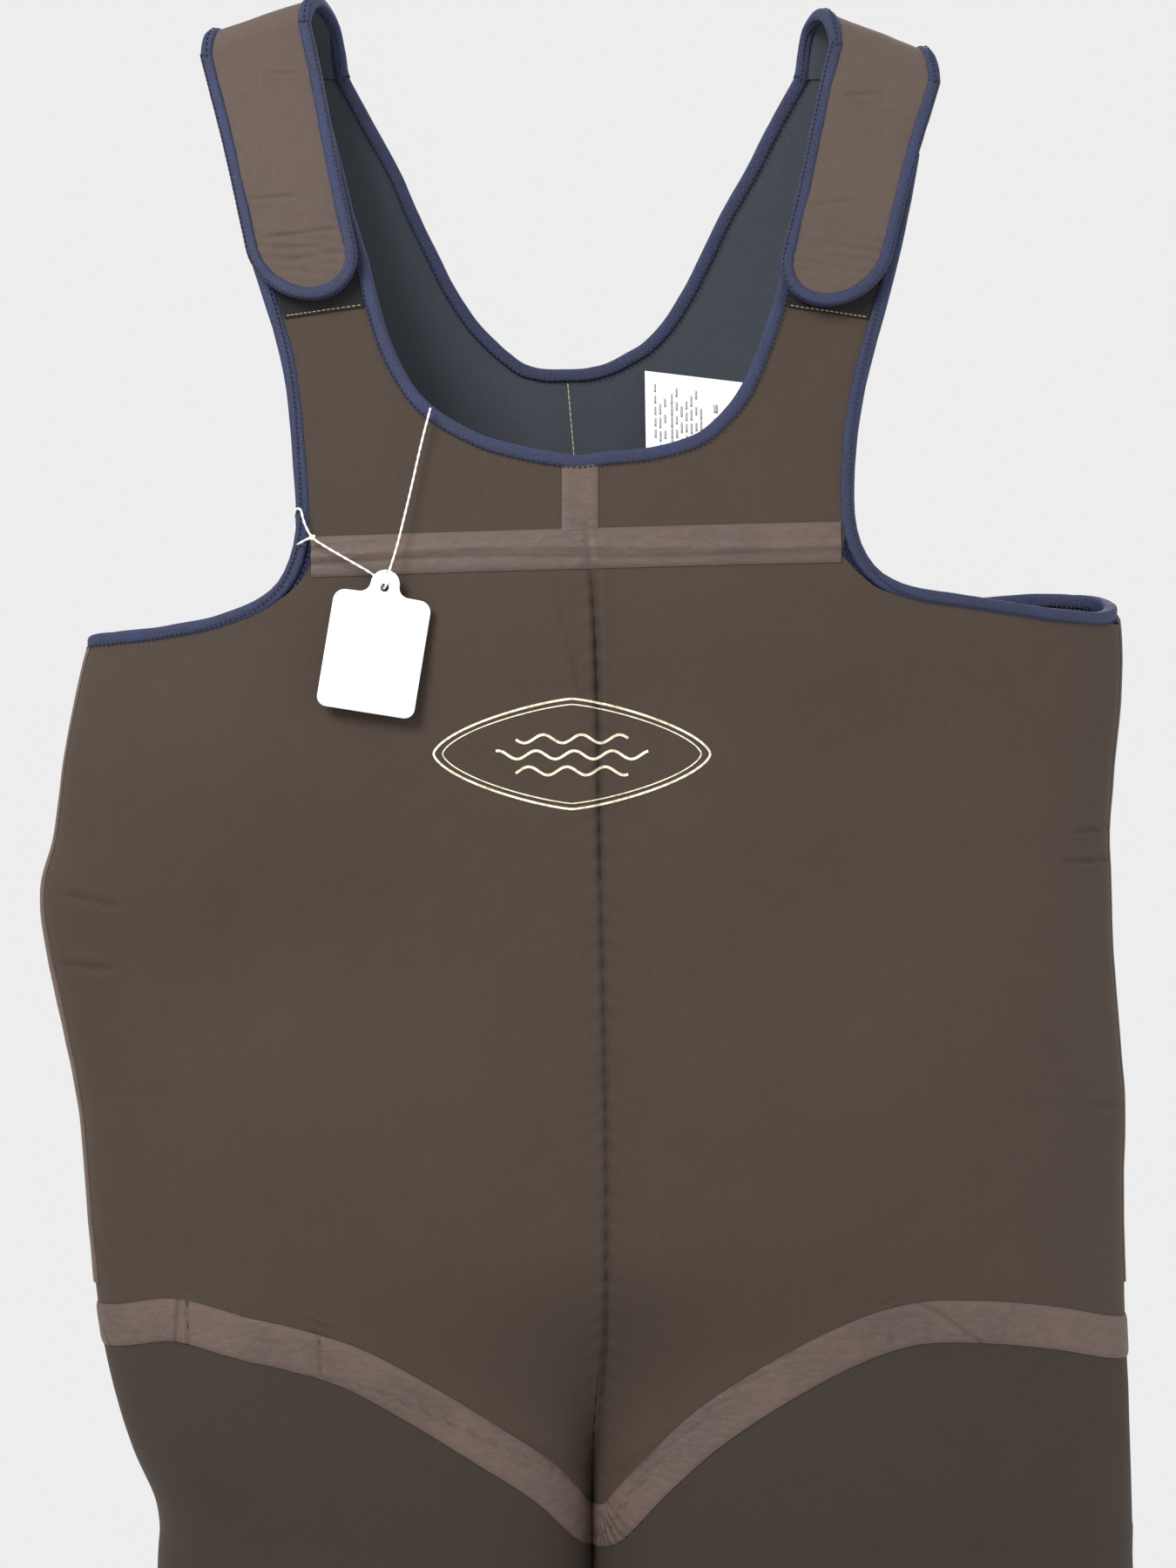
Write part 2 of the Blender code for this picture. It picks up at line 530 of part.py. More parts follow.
# edge bindings: round beads that stand just off the cut edge of the panels
front_neck = np.concatenate([neck_lines["L"][:0:-1], neck_lines["R"][1:]])
bead("neck_binding_front", rim(front_neck, -1, -EDGE), BEAD, "binding")
back_line = [tuple(p) for p in along(BACK_NECK_L, 20)[:0:-1]]
back_line += [tuple(p) for p in along(BACK_NECK_R, 20)[1:]]
bead("neck_binding_back", rim(back_line[2:-2], 1, -EDGE), BEAD, "binding")
for tag, side in SIDES.items():
    scye = [(side * x, z) for x, z in (SCYE_L if side < 0 else SCYE_R)[1:-1]]
    arm = [tuple(p) for p in arm_lines[tag][9:]]
    line = np.array([(x, z) for x, z in arm[::-1]] + scye)
    line = along(line, 30)
    reach = look(SIDE_L if side < 0 else SIDE_R, Z_ARMPIT)
    line = np.array([p for p in line if abs(p[0]) < abs(reach) - .006])
    route = rim(line, -1, -side * (EDGE + .0004))
    back_arm = BACK_ARM_L if side < 0 else BACK_ARM_R
    back = np.array([(side * x, z) for x, z in back_arm[1:]])
    back = along(back, 22)[:-2]
    back_route = rim(back, 1, side * (EDGE + .0008))
    bead("arm_binding_front_" + tag, route, BEAD, "binding")
    bead("arm_binding_back_" + tag, back_route, BEAD, "binding")

# ------------------------------------------------------------------ shoulder straps and flaps
for tag, side in SIDES.items():
    top_x, top_z = FLAP_TOP[tag]
    end_x, end_z = FLAP_END[tag]

    def crest(x, top_x=top_x, slope=CREST[tag]):
        """Extra height over the sloping hanger arm, highest on the neck side."""
        return slope * (abs(top_x) - abs(x))

    yoke_top = (np.array(inner_lines[tag][-1]) + np.array(outer_lines[tag][-1])) / 2
    yoke_half = abs(inner_lines[tag][-1][0] - outer_lines[tag][-1][0]) / 2
    front_y = wall(top_x, 0, -1)[1] - FLAP_LIFT
    back_y = wall(yoke_top[0], 0, 1)[1]
    ring = (back_y - front_y) / 2
    core_y = (back_y + front_y) / 2

    def strap_map(a, t, side=side, top_x=top_x, top_z=top_z, yoke_top=yoke_top,
                  yoke_half=yoke_half, crest=crest, ring=ring, core_y=core_y):
        """From the top of the yoke, over the hanger arm and down to the flap."""
        share = smooth(t)
        half = yoke_half + (FLAP_HALF - yoke_half) * min(1, t * 1.5)
        x = yoke_top[0] + (top_x - yoke_top[0]) * share + (a - .5) * 2 * half * side
        turn = math.pi * max(0, (t - .12) / .88)
        z = yoke_top[1] + .0010 + (top_z - yoke_top[1]) * share + ring * math.sin(turn)
        return np.array([x, core_y + ring * math.cos(turn), z + crest(x) * smooth(t * 3)])

    def strap_out(a, t):
        turn = math.pi * max(0, (t - .12) / .88)
        return np.array([0, math.cos(turn), math.sin(turn)])

    shell("strap_" + tag, strap_map, steps(0, 1, 3), steps(0, 1, 10), NEOPRENE, strap_out,
          "neoprene")

    def flap_place(t, top_x=top_x, top_z=top_z, end_x=end_x, end_z=end_z):
        return np.array([top_x + (end_x - top_x) * t, top_z + (end_z - top_z) * t])

    long = math.dist((top_x, top_z), (end_x, end_z))

    def flap_map(a, t, crest=crest, flap_place=flap_place, long=long, side=side):
        """Front end of the strap, a band with a round tip that lies over the tab."""
        past = max(0, t * long - (long - FLAP_HALF)) / FLAP_HALF
        half = FLAP_HALF * math.sqrt(max(.02, 1 - past * past))
        x, z = flap_place(t) + np.array([(a - .5) * 2 * half * side, 0])
        z += crest(x) * (1 - smooth(t * 1.6))
        return wall(x, z, -1) - np.array([0, FLAP_LIFT, 0])

    shell("flap_" + tag, flap_map, steps(0, 1, 4), steps(.004, 1, 14), NEOPRENE * .8, face_front,
          "neoprene")

    def hook_map(a, t, flap_map=flap_map):
        return flap_map(.12 + .76 * a, .55 + .36 * t) + np.array([0, NEOPRENE * .8 + .0004, 0])

    shell("hook_patch_" + tag, hook_map, steps(0, 1, 3), steps(0, 1, 5), .0009, face_front, "loop")
    left = [flap_map(0, t) for t in steps(.04, 1, 15)]
    right = [flap_map(1, t) for t in steps(1, .04, 15)]
    flap_line = np.array([(p[0], p[2]) for p in left + right])
    flap_line = along(flap_line, 34)
    lead = np.gradient(flap_line, axis=0)
    lead /= np.linalg.norm(lead, axis=1)[:, None]
    off = flap_line + np.stack([lead[:, 1], -lead[:, 0]], axis=1) * side * EDGE
    bead("flap_binding_" + tag, [wall(x, z, -1) - np.array([0, FLAP_LIFT - NEOPRENE * .4, 0])
                                 for x, z in off], BEAD, "binding")

# ------------------------------------------------------------------ care label, swing tag, string
def label_map(a, t):
    return wall(.0400 + .0520 * a, -.1560 - .0060 * a - .0600 * t, 1) - np.array([0, .0066, 0])


shell("care_label", label_map, steps(0, 1, 3), steps(0, 1, 3), LABEL_THICK, face_front, "paper")

TAG_WIDE, TAG_TALL = .0490, .0720
TAG_HOLE = (-.0923, -.0532, -.2777)
TAG_ROLL, TAG_PITCH = -9, -3


def tag_outline():
    """Ticket outline about its hole: a scalloped crown over a body with rounded corners."""
    half, low = TAG_WIDE / 2, .0090 - TAG_TALL
    places = [(0, .0090)]
    for k in range(1, 6):
        turn = math.radians(18 * k)
        places.append((.0072 * math.sin(turn), .0018 + .0072 * math.cos(turn)))
    for k in range(1, 5):
        turn = math.radians(22.5 * k)
        places.append((.0125 - .0053 * math.cos(turn), .0018 - .0053 * math.sin(turn)))
    for corner_x, corner_y, start in ((half - .006, -.0095, 90), (half - .005, low + .005, 0)):
        for k in range(5):
            turn = math.radians(start - 22.5 * k)
            places.append((corner_x + .0058 * math.cos(turn), corner_y + .0058 * math.sin(turn)))
    return places + [(-x, y) for x, y in places[:0:-1]]


ticket = bpy.data.curves.new("swing_tag", "CURVE")
ticket.dimensions = "2D"
ticket.fill_mode = "BOTH"
ticket.extrude = .0004
hole = [(.0022 * math.cos(math.tau * k / 12), .0022 * math.sin(math.tau * k / 12))
        for k in range(12)]
for ring_line in (tag_outline(), hole):
    spline = ticket.splines.new("POLY")
    spline.points.add(len(ring_line) - 1)
    for slot, (x, y) in zip(spline.points, ring_line):
        slot.co = (x, y, 0, 1)
    spline.use_cyclic_u = True
tag_obj = put("swing_tag", ticket, "paper")
tag_obj.location = TAG_HOLE
tag_obj.rotation_mode = "ZYX"
tag_obj.rotation_euler = (math.radians(90 + TAG_PITCH), 0, 0)
tag_obj.rotation_euler.rotate_axis("Z", math.radians(TAG_ROLL))

STRING = [(-.0700, -.0455, -.1870), (-.0745, -.0468, -.2050), (-.0800, -.0490, -.2300),
          (-.0860, -.0530, -.2560), (-.0900, -.0556, -.2700), (-.0915, -.0550, -.2763),
          (-.0930, -.0518, -.2780), (-.0945, -.0505, -.2750), (-.0990, -.0505, -.2705),
          (-.1100, -.0505, -.2640), (-.1220, -.0495, -.2570), (-.1290, -.0480, -.2520),
          (-.1330, -.0462, -.2450), (-.1350, -.0450, -.2380)]
bead("tag_string", [tuple(p) for p in flowing(STRING, 44)], STRING_RADIUS, "string",
     rings=2)

# ------------------------------------------------------------------ origins of the moving pieces


def hang_on(names, point):
    """Put the origin of each named piece on its joint axis."""
    for name in names:
        obj = bpy.data.objects[name]
        shift = Vector(point)
        if obj.type == "MESH":
            for vert in obj.data.vertices:
                vert.co -= shift
        else:
            for slot in obj.data.splines[0].points:
                slot.co = (*(Vector(slot.co[:3]) - shift), 1)
        obj.location = shift


for tag, side in SIDES.items():
    flap_x, flap_z = FLAP_TOP[tag]
    hang_on(["flap_" + tag, "hook_patch_" + tag, "flap_binding_" + tag],
            (flap_x, wall(flap_x, flap_z, -1)[1] - FLAP_LIFT, flap_z))
    leg_x = leg_row(side, Z_KNEE)[0]
    hang_on(["thigh_" + tag, "thigh_tape_" + tag, "knee_sleeve_" + tag, "knee_patch_" + tag],
            (leg_x, 0, Z_CROTCH))
    hang_on(["shin_" + tag, "shin_tape_" + tag, "ankle_sleeve_" + tag], (leg_x, 0, Z_KNEE))
    hang_on(["foot_" + tag, "sole_patch_" + tag], (leg_row(side, Z_ANKLE)[0], 0, Z_ANKLE))

print("built", len(garment.objects))
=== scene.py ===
"""Looks of the chest waders: neoprene panels, taped seams, bound edges, ticket and label.

Metres, the CAD frame: +Z up, the front faces -Y, the origin is where the straps lie on a hanger.
Names that end in _L are on the -X side, names in _R on the +X side.
"""
import math

import bpy
import numpy as np
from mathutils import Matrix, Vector
from mathutils.geometry import delaunay_2d_cdt


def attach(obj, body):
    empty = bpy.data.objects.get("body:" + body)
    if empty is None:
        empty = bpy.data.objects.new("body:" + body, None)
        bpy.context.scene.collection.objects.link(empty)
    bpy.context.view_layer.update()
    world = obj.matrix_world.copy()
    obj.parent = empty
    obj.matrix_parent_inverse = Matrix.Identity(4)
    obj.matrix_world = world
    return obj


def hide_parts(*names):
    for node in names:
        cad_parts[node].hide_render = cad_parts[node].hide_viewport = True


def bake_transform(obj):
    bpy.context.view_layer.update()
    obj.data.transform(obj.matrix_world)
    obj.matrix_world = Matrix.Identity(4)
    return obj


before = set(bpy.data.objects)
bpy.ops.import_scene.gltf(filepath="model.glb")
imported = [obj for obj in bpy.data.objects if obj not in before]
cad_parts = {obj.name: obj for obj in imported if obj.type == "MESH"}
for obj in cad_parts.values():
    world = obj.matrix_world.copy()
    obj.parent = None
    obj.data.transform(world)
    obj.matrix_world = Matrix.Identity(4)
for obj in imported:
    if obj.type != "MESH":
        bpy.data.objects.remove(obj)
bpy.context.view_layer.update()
SIDES = {"L": -1, "R": 1}

# ------------------------------------------------------------------ shape of the garment
# The tables are the CAD's, except that the legs lie against each other for longer below the
# crotch and the right shoulder tab ends 2 mm narrower.
NEOPRENE = .005
POWER = 2.5
LEG_POWER = 2.3
FOOT_POWER = 2.15
Z_CHEST = -.2590
Z_SCYE = -.2800
Z_YOKE = -.3400
Z_CROTCH = -.7570
Z_FORK = -.6000
Z_HIP_MIDDLE = -.7000
Z_KNEE_TOP = -1.0500
Z_KNEE = -1.1100
Z_KNEE_END = -1.1700
Z_ANKLE_TOP = -1.3950
Z_ANKLE_END = -1.4650
CROTCH_X = .0110
BEAD = .0035
EDGE = BEAD + .0012
TAPE_WIDE = .021
FLAP_HALF = .0203
FLAP_LIFT = .0080
FLAP_THICK = .0040
FLAP_END = {"L": (-.1318, -.1235), "R": (.1300, -.1270)}
FLAP_TOP = {"L": (-.1610, .0050), "R": (.1605, -.0080)}
ARM_CORNER = 8
CREST = {"L": .33, "R": .38}
PATCH_LOW = {"L": (-.1339, -.1399), "R": (-.1339, -.1407)}
TAG_HOLE = (-.0923, -.0532, -.2777)

# lines over the height: side edges, half depth, centre seam
SIDE_L = [(-.255, -.2310), (-.302, -.2486), (-.330, -.2554), (-.367, -.2622), (-.403, -.2667),
          (-.430, -.2735), (-.466, -.2690), (-.502, -.2608), (-.538, -.2532), (-.602, -.2486),
          (-.638, -.2455), (-.665, -.2419), (-.715, -.2283), (-.746, -.2150), (-.782, -.2125)]
SIDE_R = [(-.255, .2760), (-.291, .2825), (-.330, .2838), (-.376, .2802), (-.398, .2779),
          (-.443, .2788), (-.511, .2838), (-.541, .2856), (-.579, .2852), (-.647, .2865),
          (-.692, .2883), (-.782, .2901)]
DEPTH = [(.02, .016), (0, .017), (-.05, .023), (-.12, .033), (-.20, .042), (-.30, .049),
         (-.45, .055), (-.60, .060), (-.80, .062)]
CENTRE = [(-.16, -.0017), (-.22, .006), (-.29, .012), (-.42, .0155), (-.59, .0185), (-.68, .0170),
          (-.757, .0110)]
# leg: height, centre x, centre y, half width, half depth
LEG_L = [(-.757, -.1010, .000, .1120, .060), (-.770, -.1011, .000, .1129, .0605),
         (-.822, -.1015, .000, .1130, .061), (-.870, -.1070, .000, .1120, .062),
         (-1.050, -.1080, .000, .1010, .058), (-1.110, -.1080, .000, .0980, .056),
         (-1.170, -.1080, .000, .0960, .055), (-1.300, -.1070, .002, .0860, .053),
         (-1.395, -.1060, .004, .0690, .052), (-1.465, -.1060, .002, .0590, .055)]
LEG_R = [(-.757, .1505, .000, .1395, .060), (-.770, .1502, .000, .1398, .0605),
         (-.822, .1500, .000, .1390, .061), (-.870, .1520, .000, .1280, .062),
         (-1.050, .1500, .000, .1050, .058), (-1.110, .1500, .000, .1010, .056),
         (-1.170, .1500, .000, .0980, .055), (-1.300, .1490, .002, .0870, .053),
         (-1.395, .1480, .004, .0690, .052), (-1.465, .1480, .002, .0590, .055)]
# hip seams: distance from the crotch line, height
HIP_L = [(.000, -.757), (.010, -.749), (.033, -.725), (.055, -.706), (.077, -.686), (.100, -.669),
         (.134, -.658), (.165, -.652), (.202, -.645), (.246, -.652), (.300, -.660)]
HIP_R = [(.000, -.757), (.017, -.750), (.041, -.723), (.060, -.695), (.082, -.672), (.108, -.655),
         (.139, -.645), (.183, -.644), (.229, -.649), (.275, -.659), (.330, -.664)]
# edges of bib and yoke as (x, z); the armholes below them by distance from the middle
NECK_L = [(.0058, -.2186), (-.0026, -.2180), (-.0250, -.2141), (-.0477, -.2074), (-.0706, -.1948),
          (-.0852, -.1802), (-.0979, -.1568), (-.1065, -.1291), (-.1110, -.1109), (-.1182, -.0880),
          (-.1240, -.0650), (-.1300, -.0417)]
NECK_R = [(.0058, -.2186), (.0204, -.2166), (.0428, -.2142), (.0659, -.2073), (.0804, -.1961),
          (.0929, -.1799), (.1028, -.1568), (.1120, -.1293), (.1165, -.1090), (.1215, -.0880),
          (.1290, -.0554)]
ARM_L = [(-.0020, Z_CHEST), (-.0350, Z_CHEST), (-.0700, Z_CHEST), (-.1000, Z_CHEST),
         (-.1300, Z_CHEST), (-.1291, -.2440), (-.1311, -.2211), (-.1330, -.1989), (-.1351, -.1763),
         (-.1397, -.1532), (-.1484, -.1257), (-.1568, -.1000), (-.1670, -.0412)]
ARM_R = [(-.0020, Z_CHEST), (.0370, Z_CHEST), (.0700, Z_CHEST), (.1000, Z_CHEST),
         (.1370, Z_CHEST), (.1344, -.2440), (.1348, -.2216), (.1365, -.1990), (.1403, -.1762),
         (.1462, -.1535), (.1539, -.1263), (.1588, -.1083), (.1650, -.0809), (.1706, -.0520)]
SCYE_L = [(.130, -.2590), (.1348, -.2730), (.1425, -.2834), (.1536, -.2905), (.1675, -.2959),
          (.1816, -.3003), (.2095, -.3045), (.2333, -.3062), (.2457, -.3083), (.300, -.3110)]
SCYE_R = [(.137, -.2590), (.1402, -.2645), (.1458, -.2721), (.1547, -.2798), (.1726, -.2851),
          (.1952, -.2878), (.2177, -.2911), (.2407, -.2944), (.2649, -.2961), (.330, -.2965)]
BACK_NECK_L = [(-.0017, -.1632), (-.0147, -.1631), (-.0277, -.1600), (-.0379, -.1531),
               (-.0466, -.1455), (-.0572, -.1341), (-.0689, -.1165), (-.0768, -.1010),
               (-.0879, -.0786), (-.0977, -.0565), (-.1100, -.0345), (-.1245, -.0080)]
BACK_NECK_R = [(-.0017, -.1632), (.0097, -.1626), (.0222, -.1594), (.0331, -.1539),
               (.0437, -.1475), (.0557, -.1350), (.0664, -.1182), (.0754, -.1009),
               (.0863, -.0787), (.0992, -.0566), (.1106, -.0344), (.1255, -.0080)]
BACK_ARM_L = [(.300, -.3100), (.2370, -.3095), (.2220, -.3070), (.2000, -.3045), (.1800, -.3015),
              (.1640, -.2955), (.1500, -.2860), (.1400, -.2740), (.1350, -.2600), (.1325, -.2400),
              (.1325, -.2150), (.1345, -.1850), (.1390, -.1550), (.1480, -.1180), (.1590, -.0780),
              (.1680, -.0420), (.1740, -.0080)]
BACK_ARM_R = [(.300, -.2930), (.2780, -.2880), (.2630, -.2838), (.2430, -.2832), (.2200, -.2850),
              (.1950, -.2860), (.1750, -.2845), (.1600, -.2790), (.1480, -.2690), (.1410, -.2560),
              (.1380, -.2400), (.1370, -.2150), (.1385, -.1850), (.1430, -.1550), (.1510, -.1180),
              (.1610, -.0780), (.1700, -.0420), (.1740, -.0080)]
# foot: centre y, centre z, tilt in degrees, half width, half height
FOOT = [(.002, -1.4655, 0, .0590, .0550), (-.001, -1.4905, 14, .0560, .0568),
        (-.005, -1.5130, 28, .0500, .0610), (-.018, -1.5310, 42, .0460, .0598),
        (-.041, -1.5395, 57, .0450, .0516), (-.068, -1.5435, 74, .0455, .0436),
        (-.105, -1.5495, 86, .0485, .0370), (-.150, -1.5555, 89, .0500, .0310),
        (-.188, -1.5600, 90, .0450, .0265), (-.212, -1.5640, 90, .0330, .0210),
        (-.224, -1.5670, 90, .0180, .0130), (-.2275, -1.5680, 90, .0000, .0000)]
# string: from the neckline through the ticket's hole to the armhole
TAG_STRING = [(-.0700, -.0455, -.1870), (-.0745, -.0468, -.2050), (-.0800, -.0490, -.2300),
              (-.0860, -.0530, -.2560), (-.0900, -.0556, -.2700), (-.0915, -.0550, -.2763),
              (-.0930, -.0518, -.2780), (-.0945, -.0505, -.2750), (-.0990, -.0505, -.2705),
              (-.1100, -.0505, -.2640), (-.1220, -.0495, -.2570), (-.1290, -.0480, -.2520),
              (-.1330, -.0462, -.2450), (-.1350, -.0450, -.2380)]
KNOT_AT = 11

READY = {}


def look(table, value):
    """Smooth reading of a table of (key, value) pairs, for numbers or arrays."""
    key = tuple(table)
    if key not in READY:
        rows = np.array(sorted(table), float)
        rise = np.diff(rows[:, 1]) / np.diff(rows[:, 0])
        lean = np.concatenate([rise[:1], (rise[1:] + rise[:-1]) / 2, rise[-1:]])
        READY[key] = rows[:, 0], rows[:, 1], lean
    keys, values, lean = READY[key]
    value = np.clip(value, keys[0], keys[-1])
    k = np.clip(np.searchsorted(keys, value) - 1, 0, len(keys) - 2)
    wide = keys[k + 1] - keys[k]
    t = (value - keys[k]) / wide
    start, end = values[k], values[k + 1]
    cubic = (2 * t ** 3 - 3 * t * t + 1) * start + (3 * t * t - 2 * t ** 3) * end
    return cubic + wide * ((t ** 3 - 2 * t * t + t) * lean[k] + (t ** 3 - t * t) * lean[k + 1])


def smooth(value):
    """Ease from 0 to 1, flat at both ends."""
    value = np.clip(value, 0, 1)
    return value * value * (3 - 2 * value)


def spow(value, power):
    """Power that keeps the sign."""
    return np.sign(value) * np.abs(value) ** power


def edges(side):
    return SIDE_L if side < 0 else SIDE_R


def leg_row(side, z):
    """Centre x, centre y, half width and half depth of a leg at a height."""
    table = LEG_L if side < 0 else LEG_R
    return [look([(row[0], row[k]) for row in table], z) for k in range(1, 5)]


def half(side, u, z):
    """One half of the garment: u = 0 centre front, 0.5 side seam, 1 centre back; or one leg."""
    u, z = np.broadcast_arrays(np.asarray(u, float), np.asarray(z, float))
    mid, edge = look(CENTRE, z), look(edges(side), z)
    x = mid + (edge - mid) * np.abs(np.sin(math.pi * u)) ** (2 / POWER)
    y = -look(DEPTH, z) * spow(np.cos(math.pi * u), 2 / POWER)
    part = smooth((Z_FORK - z) / (Z_FORK - Z_CROTCH))
    cx, cy, wide, deep = leg_row(side, np.minimum(z, Z_CROTCH))
    wide = np.where(z > Z_CROTCH, np.abs(edge - CROTCH_X) / 2, wide)
    cx = np.where(z > Z_CROTCH, (edge + CROTCH_X) / 2, cx)
    lx = cx - side * wide * spow(np.cos(math.tau * u), 2 / LEG_POWER)
    ly = cy - deep * spow(np.sin(math.tau * u), 2 / LEG_POWER)
    return np.stack([x + (lx - x) * part, y + (ly - y) * part, z], axis=-1)


def wall(x, z, face):
    """Surface over a place (x, z) of bib or yoke; face -1 front, +1 back."""
    x, z = np.broadcast_arrays(np.asarray(x, float), np.asarray(z, float))
    mid = look(CENTRE, z)
    edge = np.where(x < mid, look(SIDE_L, z), look(SIDE_R, z))
    share = np.minimum(.999, np.abs((x - mid) / (edge - mid)))
    return np.stack([x, face * look(DEPTH, z) * (1 - share ** POWER) ** (1 / POWER), z], axis=-1)


def wall_normal(p):
    """Outward direction of the flattened body at points p."""
    x, y, z = p[..., 0], p[..., 1], p[..., 2]
    mid = look(CENTRE, z)
    edge = np.where(x < mid, look(SIDE_L, z), look(SIDE_R, z))
    deep = look(DEPTH, z)
    share, level = (x - mid) / (edge - mid), np.clip(y / deep, -1, 1)
    nx = np.abs(share) ** (POWER - 1) / (edge - mid)
    n = np.stack([nx, spow(level, POWER - 1) / deep, np.zeros_like(x)], axis=-1)
    return n / np.linalg.norm(n, axis=-1, keepdims=True)


def foot_point(side, u, v):
    """Surface of the foot: u round it, v from the ankle seam to the toe."""
    place = np.asarray(v, float) * (len(FOOT) - 1)
    cy, cz, tilt, wide, high = [look([(i, r[k]) for i, r in enumerate(FOOT)], place)
                                for k in range(5)]
    back = -spow(np.sin(math.tau * u), 2 / FOOT_POWER) * high
    x = leg_row(side, Z_ANKLE_END)[0] - side * wide * spow(np.cos(math.tau * u), 2 / FOOT_POWER)
    tilt = np.radians(tilt)
    return np.stack(np.broadcast_arrays(x, cy + back * np.cos(tilt), cz - back * np.sin(tilt)), -1)


def hip_height(side, u):
    """Height of the hip seam, read twice because the garment's width changes with the height."""
    table = HIP_L if side < 0 else HIP_R
    level = look(table, np.abs(half(side, u, Z_HIP_MIDDLE)[..., 0] - CROTCH_X))
    level = level + (Z_HIP_MIDDLE - level) / 4
    return look(table, np.abs(half(side, u, level)[..., 0] - CROTCH_X))


def scye_height(side, u):
    """Height of the armhole's edge on the front body."""
    reach = np.abs(half(side, u, Z_SCYE)[..., 0])
    return look(SCYE_L if side < 0 else SCYE_R, reach)


def along(points, count):
    """count + 1 places evenly spaced by length on a polyline."""
    pts = np.array(points, float)
    run = np.concatenate([[0], np.cumsum(np.linalg.norm(np.diff(pts, axis=0), axis=1))])
    spots = np.linspace(0, run[-1], count + 1)
    return np.stack([np.interp(spots, run, pts[:, k]) for k in range(pts.shape[1])], axis=1)


def flowing(points, count):
    """count + 1 places on a smooth curve through the given points."""
    pts = np.array(points, float)
    pts = np.vstack([2 * pts[0] - pts[1], pts, 2 * pts[-1] - pts[-2]])
    fine = []
    for k in range(1, len(pts) - 2):
        a, b, c, d = pts[k - 1:k + 3]
        for t in np.linspace(0, 1, 12, endpoint=False):
            bend = (2 * a - 5 * b + 4 * c - d) * t * t + (3 * b - a - 3 * c + d) * t ** 3
            fine.append(.5 * (2 * b + (c - a) * t + bend))
    return along(fine + [pts[-2]], count)


# ------------------------------------------------------------------ how the cloth lies
def grain(p, size, seed=0):
    """Smooth random field of about -1 to 1 with features of the given size."""
    q = np.asarray(p, float) / np.asarray(size, float)
    cell = np.floor(q)
    part = smooth(q - cell)
    total = 0
    for corner in range(8):
        step = np.array([corner & 1, corner >> 1 & 1, corner >> 2 & 1])
        mixed = (cell + step) @ np.array([127.1, 311.7, 74.7]) + seed * 19.19
        value = np.sin(mixed) * 43758.5453
        value = (value - np.floor(value)) * 2 - 1
        share = np.where(step, part, 1 - part)
        total = total + value * share.prod(axis=-1)
    return total


def bump(x, z, place, size, tall):
    """A round swelling of the cloth."""
    return tall * np.exp(-((x - place[0]) / size[0]) ** 2 - ((z - place[1]) / size[1]) ** 2)


def crease(x, z, start, end, wide, deep):
    """A sharp line pressed in between two places, fading at its ends, with soft lips."""
    a, b = np.array(start), np.array(end)
    way = b - a
    long = np.linalg.norm(way)
    t = ((x - a[0]) * way[0] + (z - a[1]) * way[1]) / long ** 2
    off = ((x - a[0]) * way[1] - (z - a[1]) * way[0]) / long
    fade = smooth(t * 4 + .5) * smooth((1 - t) * 4 + .5)
    groove = np.exp(-(off / wide) ** 2) - .45 * np.exp(-(off / (3 * wide)) ** 2)
    return -deep * fade * groove


# front: swellings (place, size, height) and pressed lines (start, end, width, depth)
SWELLS = [((-.155, -.370), (.075, .060), .0060), ((.175, -.350), (.060, .035), -.0050),
          ((-.175, -.475), (.070, .060), -.0065), ((.130, -.560), (.090, .080), .0065),
          ((-.060, -.610), (.060, .090), .0050), ((.235, -.470), (.035, .060), .0050),
          ((.150, -.440), (.050, .060), -.0035), ((.050, -.420), (.045, .060), .0035),
          ((-.080, -.440), (.045, .060), -.0030), ((-.120, -.540), (.060, .050), .0035),
          ((-.190, -.690), (.060, .050), .0040), ((.190, -.720), (.080, .050), .0040),
          ((-.030, -.300), (.060, .030), .0020), ((.080, -.300), (.050, .030), .0018),
          ((-.225, -.640), (.030, .060), -.0030), ((.040, -.690), (.030, .050), -.0030)]
LINES = [((.256, -.3995), (.279, -.3985), .0012, .0022), ((.250, -.4150), (.277, -.4145), .0012, .0022),
         ((-.1930, -.6270), (-.1905, -.6590), .0012, .0016),
         ((-.1255, -.6400), (-.1235, -.6720), .0012, .0018),
         ((.1600, -.6270), (.1590, -.6550), .0012, .0012),
         ((-.0085, -.2700), (.0060, -.3330), .0016, .0015),
         ((.0130, -.2700), (.0140, -.3330), .0018, .0019),
         ((.0140, -.3330), (.0150, -.4200), .0018, .0010),
         ((-.1010, -.2850), (-.0700, -.2950), .0020, .0006),
         ((.0120, -.7300), (-.0350, -.7010), .0030, .0010),
         ((.0130, -.7350), (.0560, -.7000), .0030, .0012),
         ((-.2560, -.4320), (-.2300, -.4380), .0020, .0022),
         ((-.2620, -.4680), (-.2350, -.4700), .0020, .0022),
         ((.2640, -.5400), (.2850, -.5405), .0020, .0016),
         ((-.2300, -.6350), (-.2440, -.6080), .0016, .0012)]


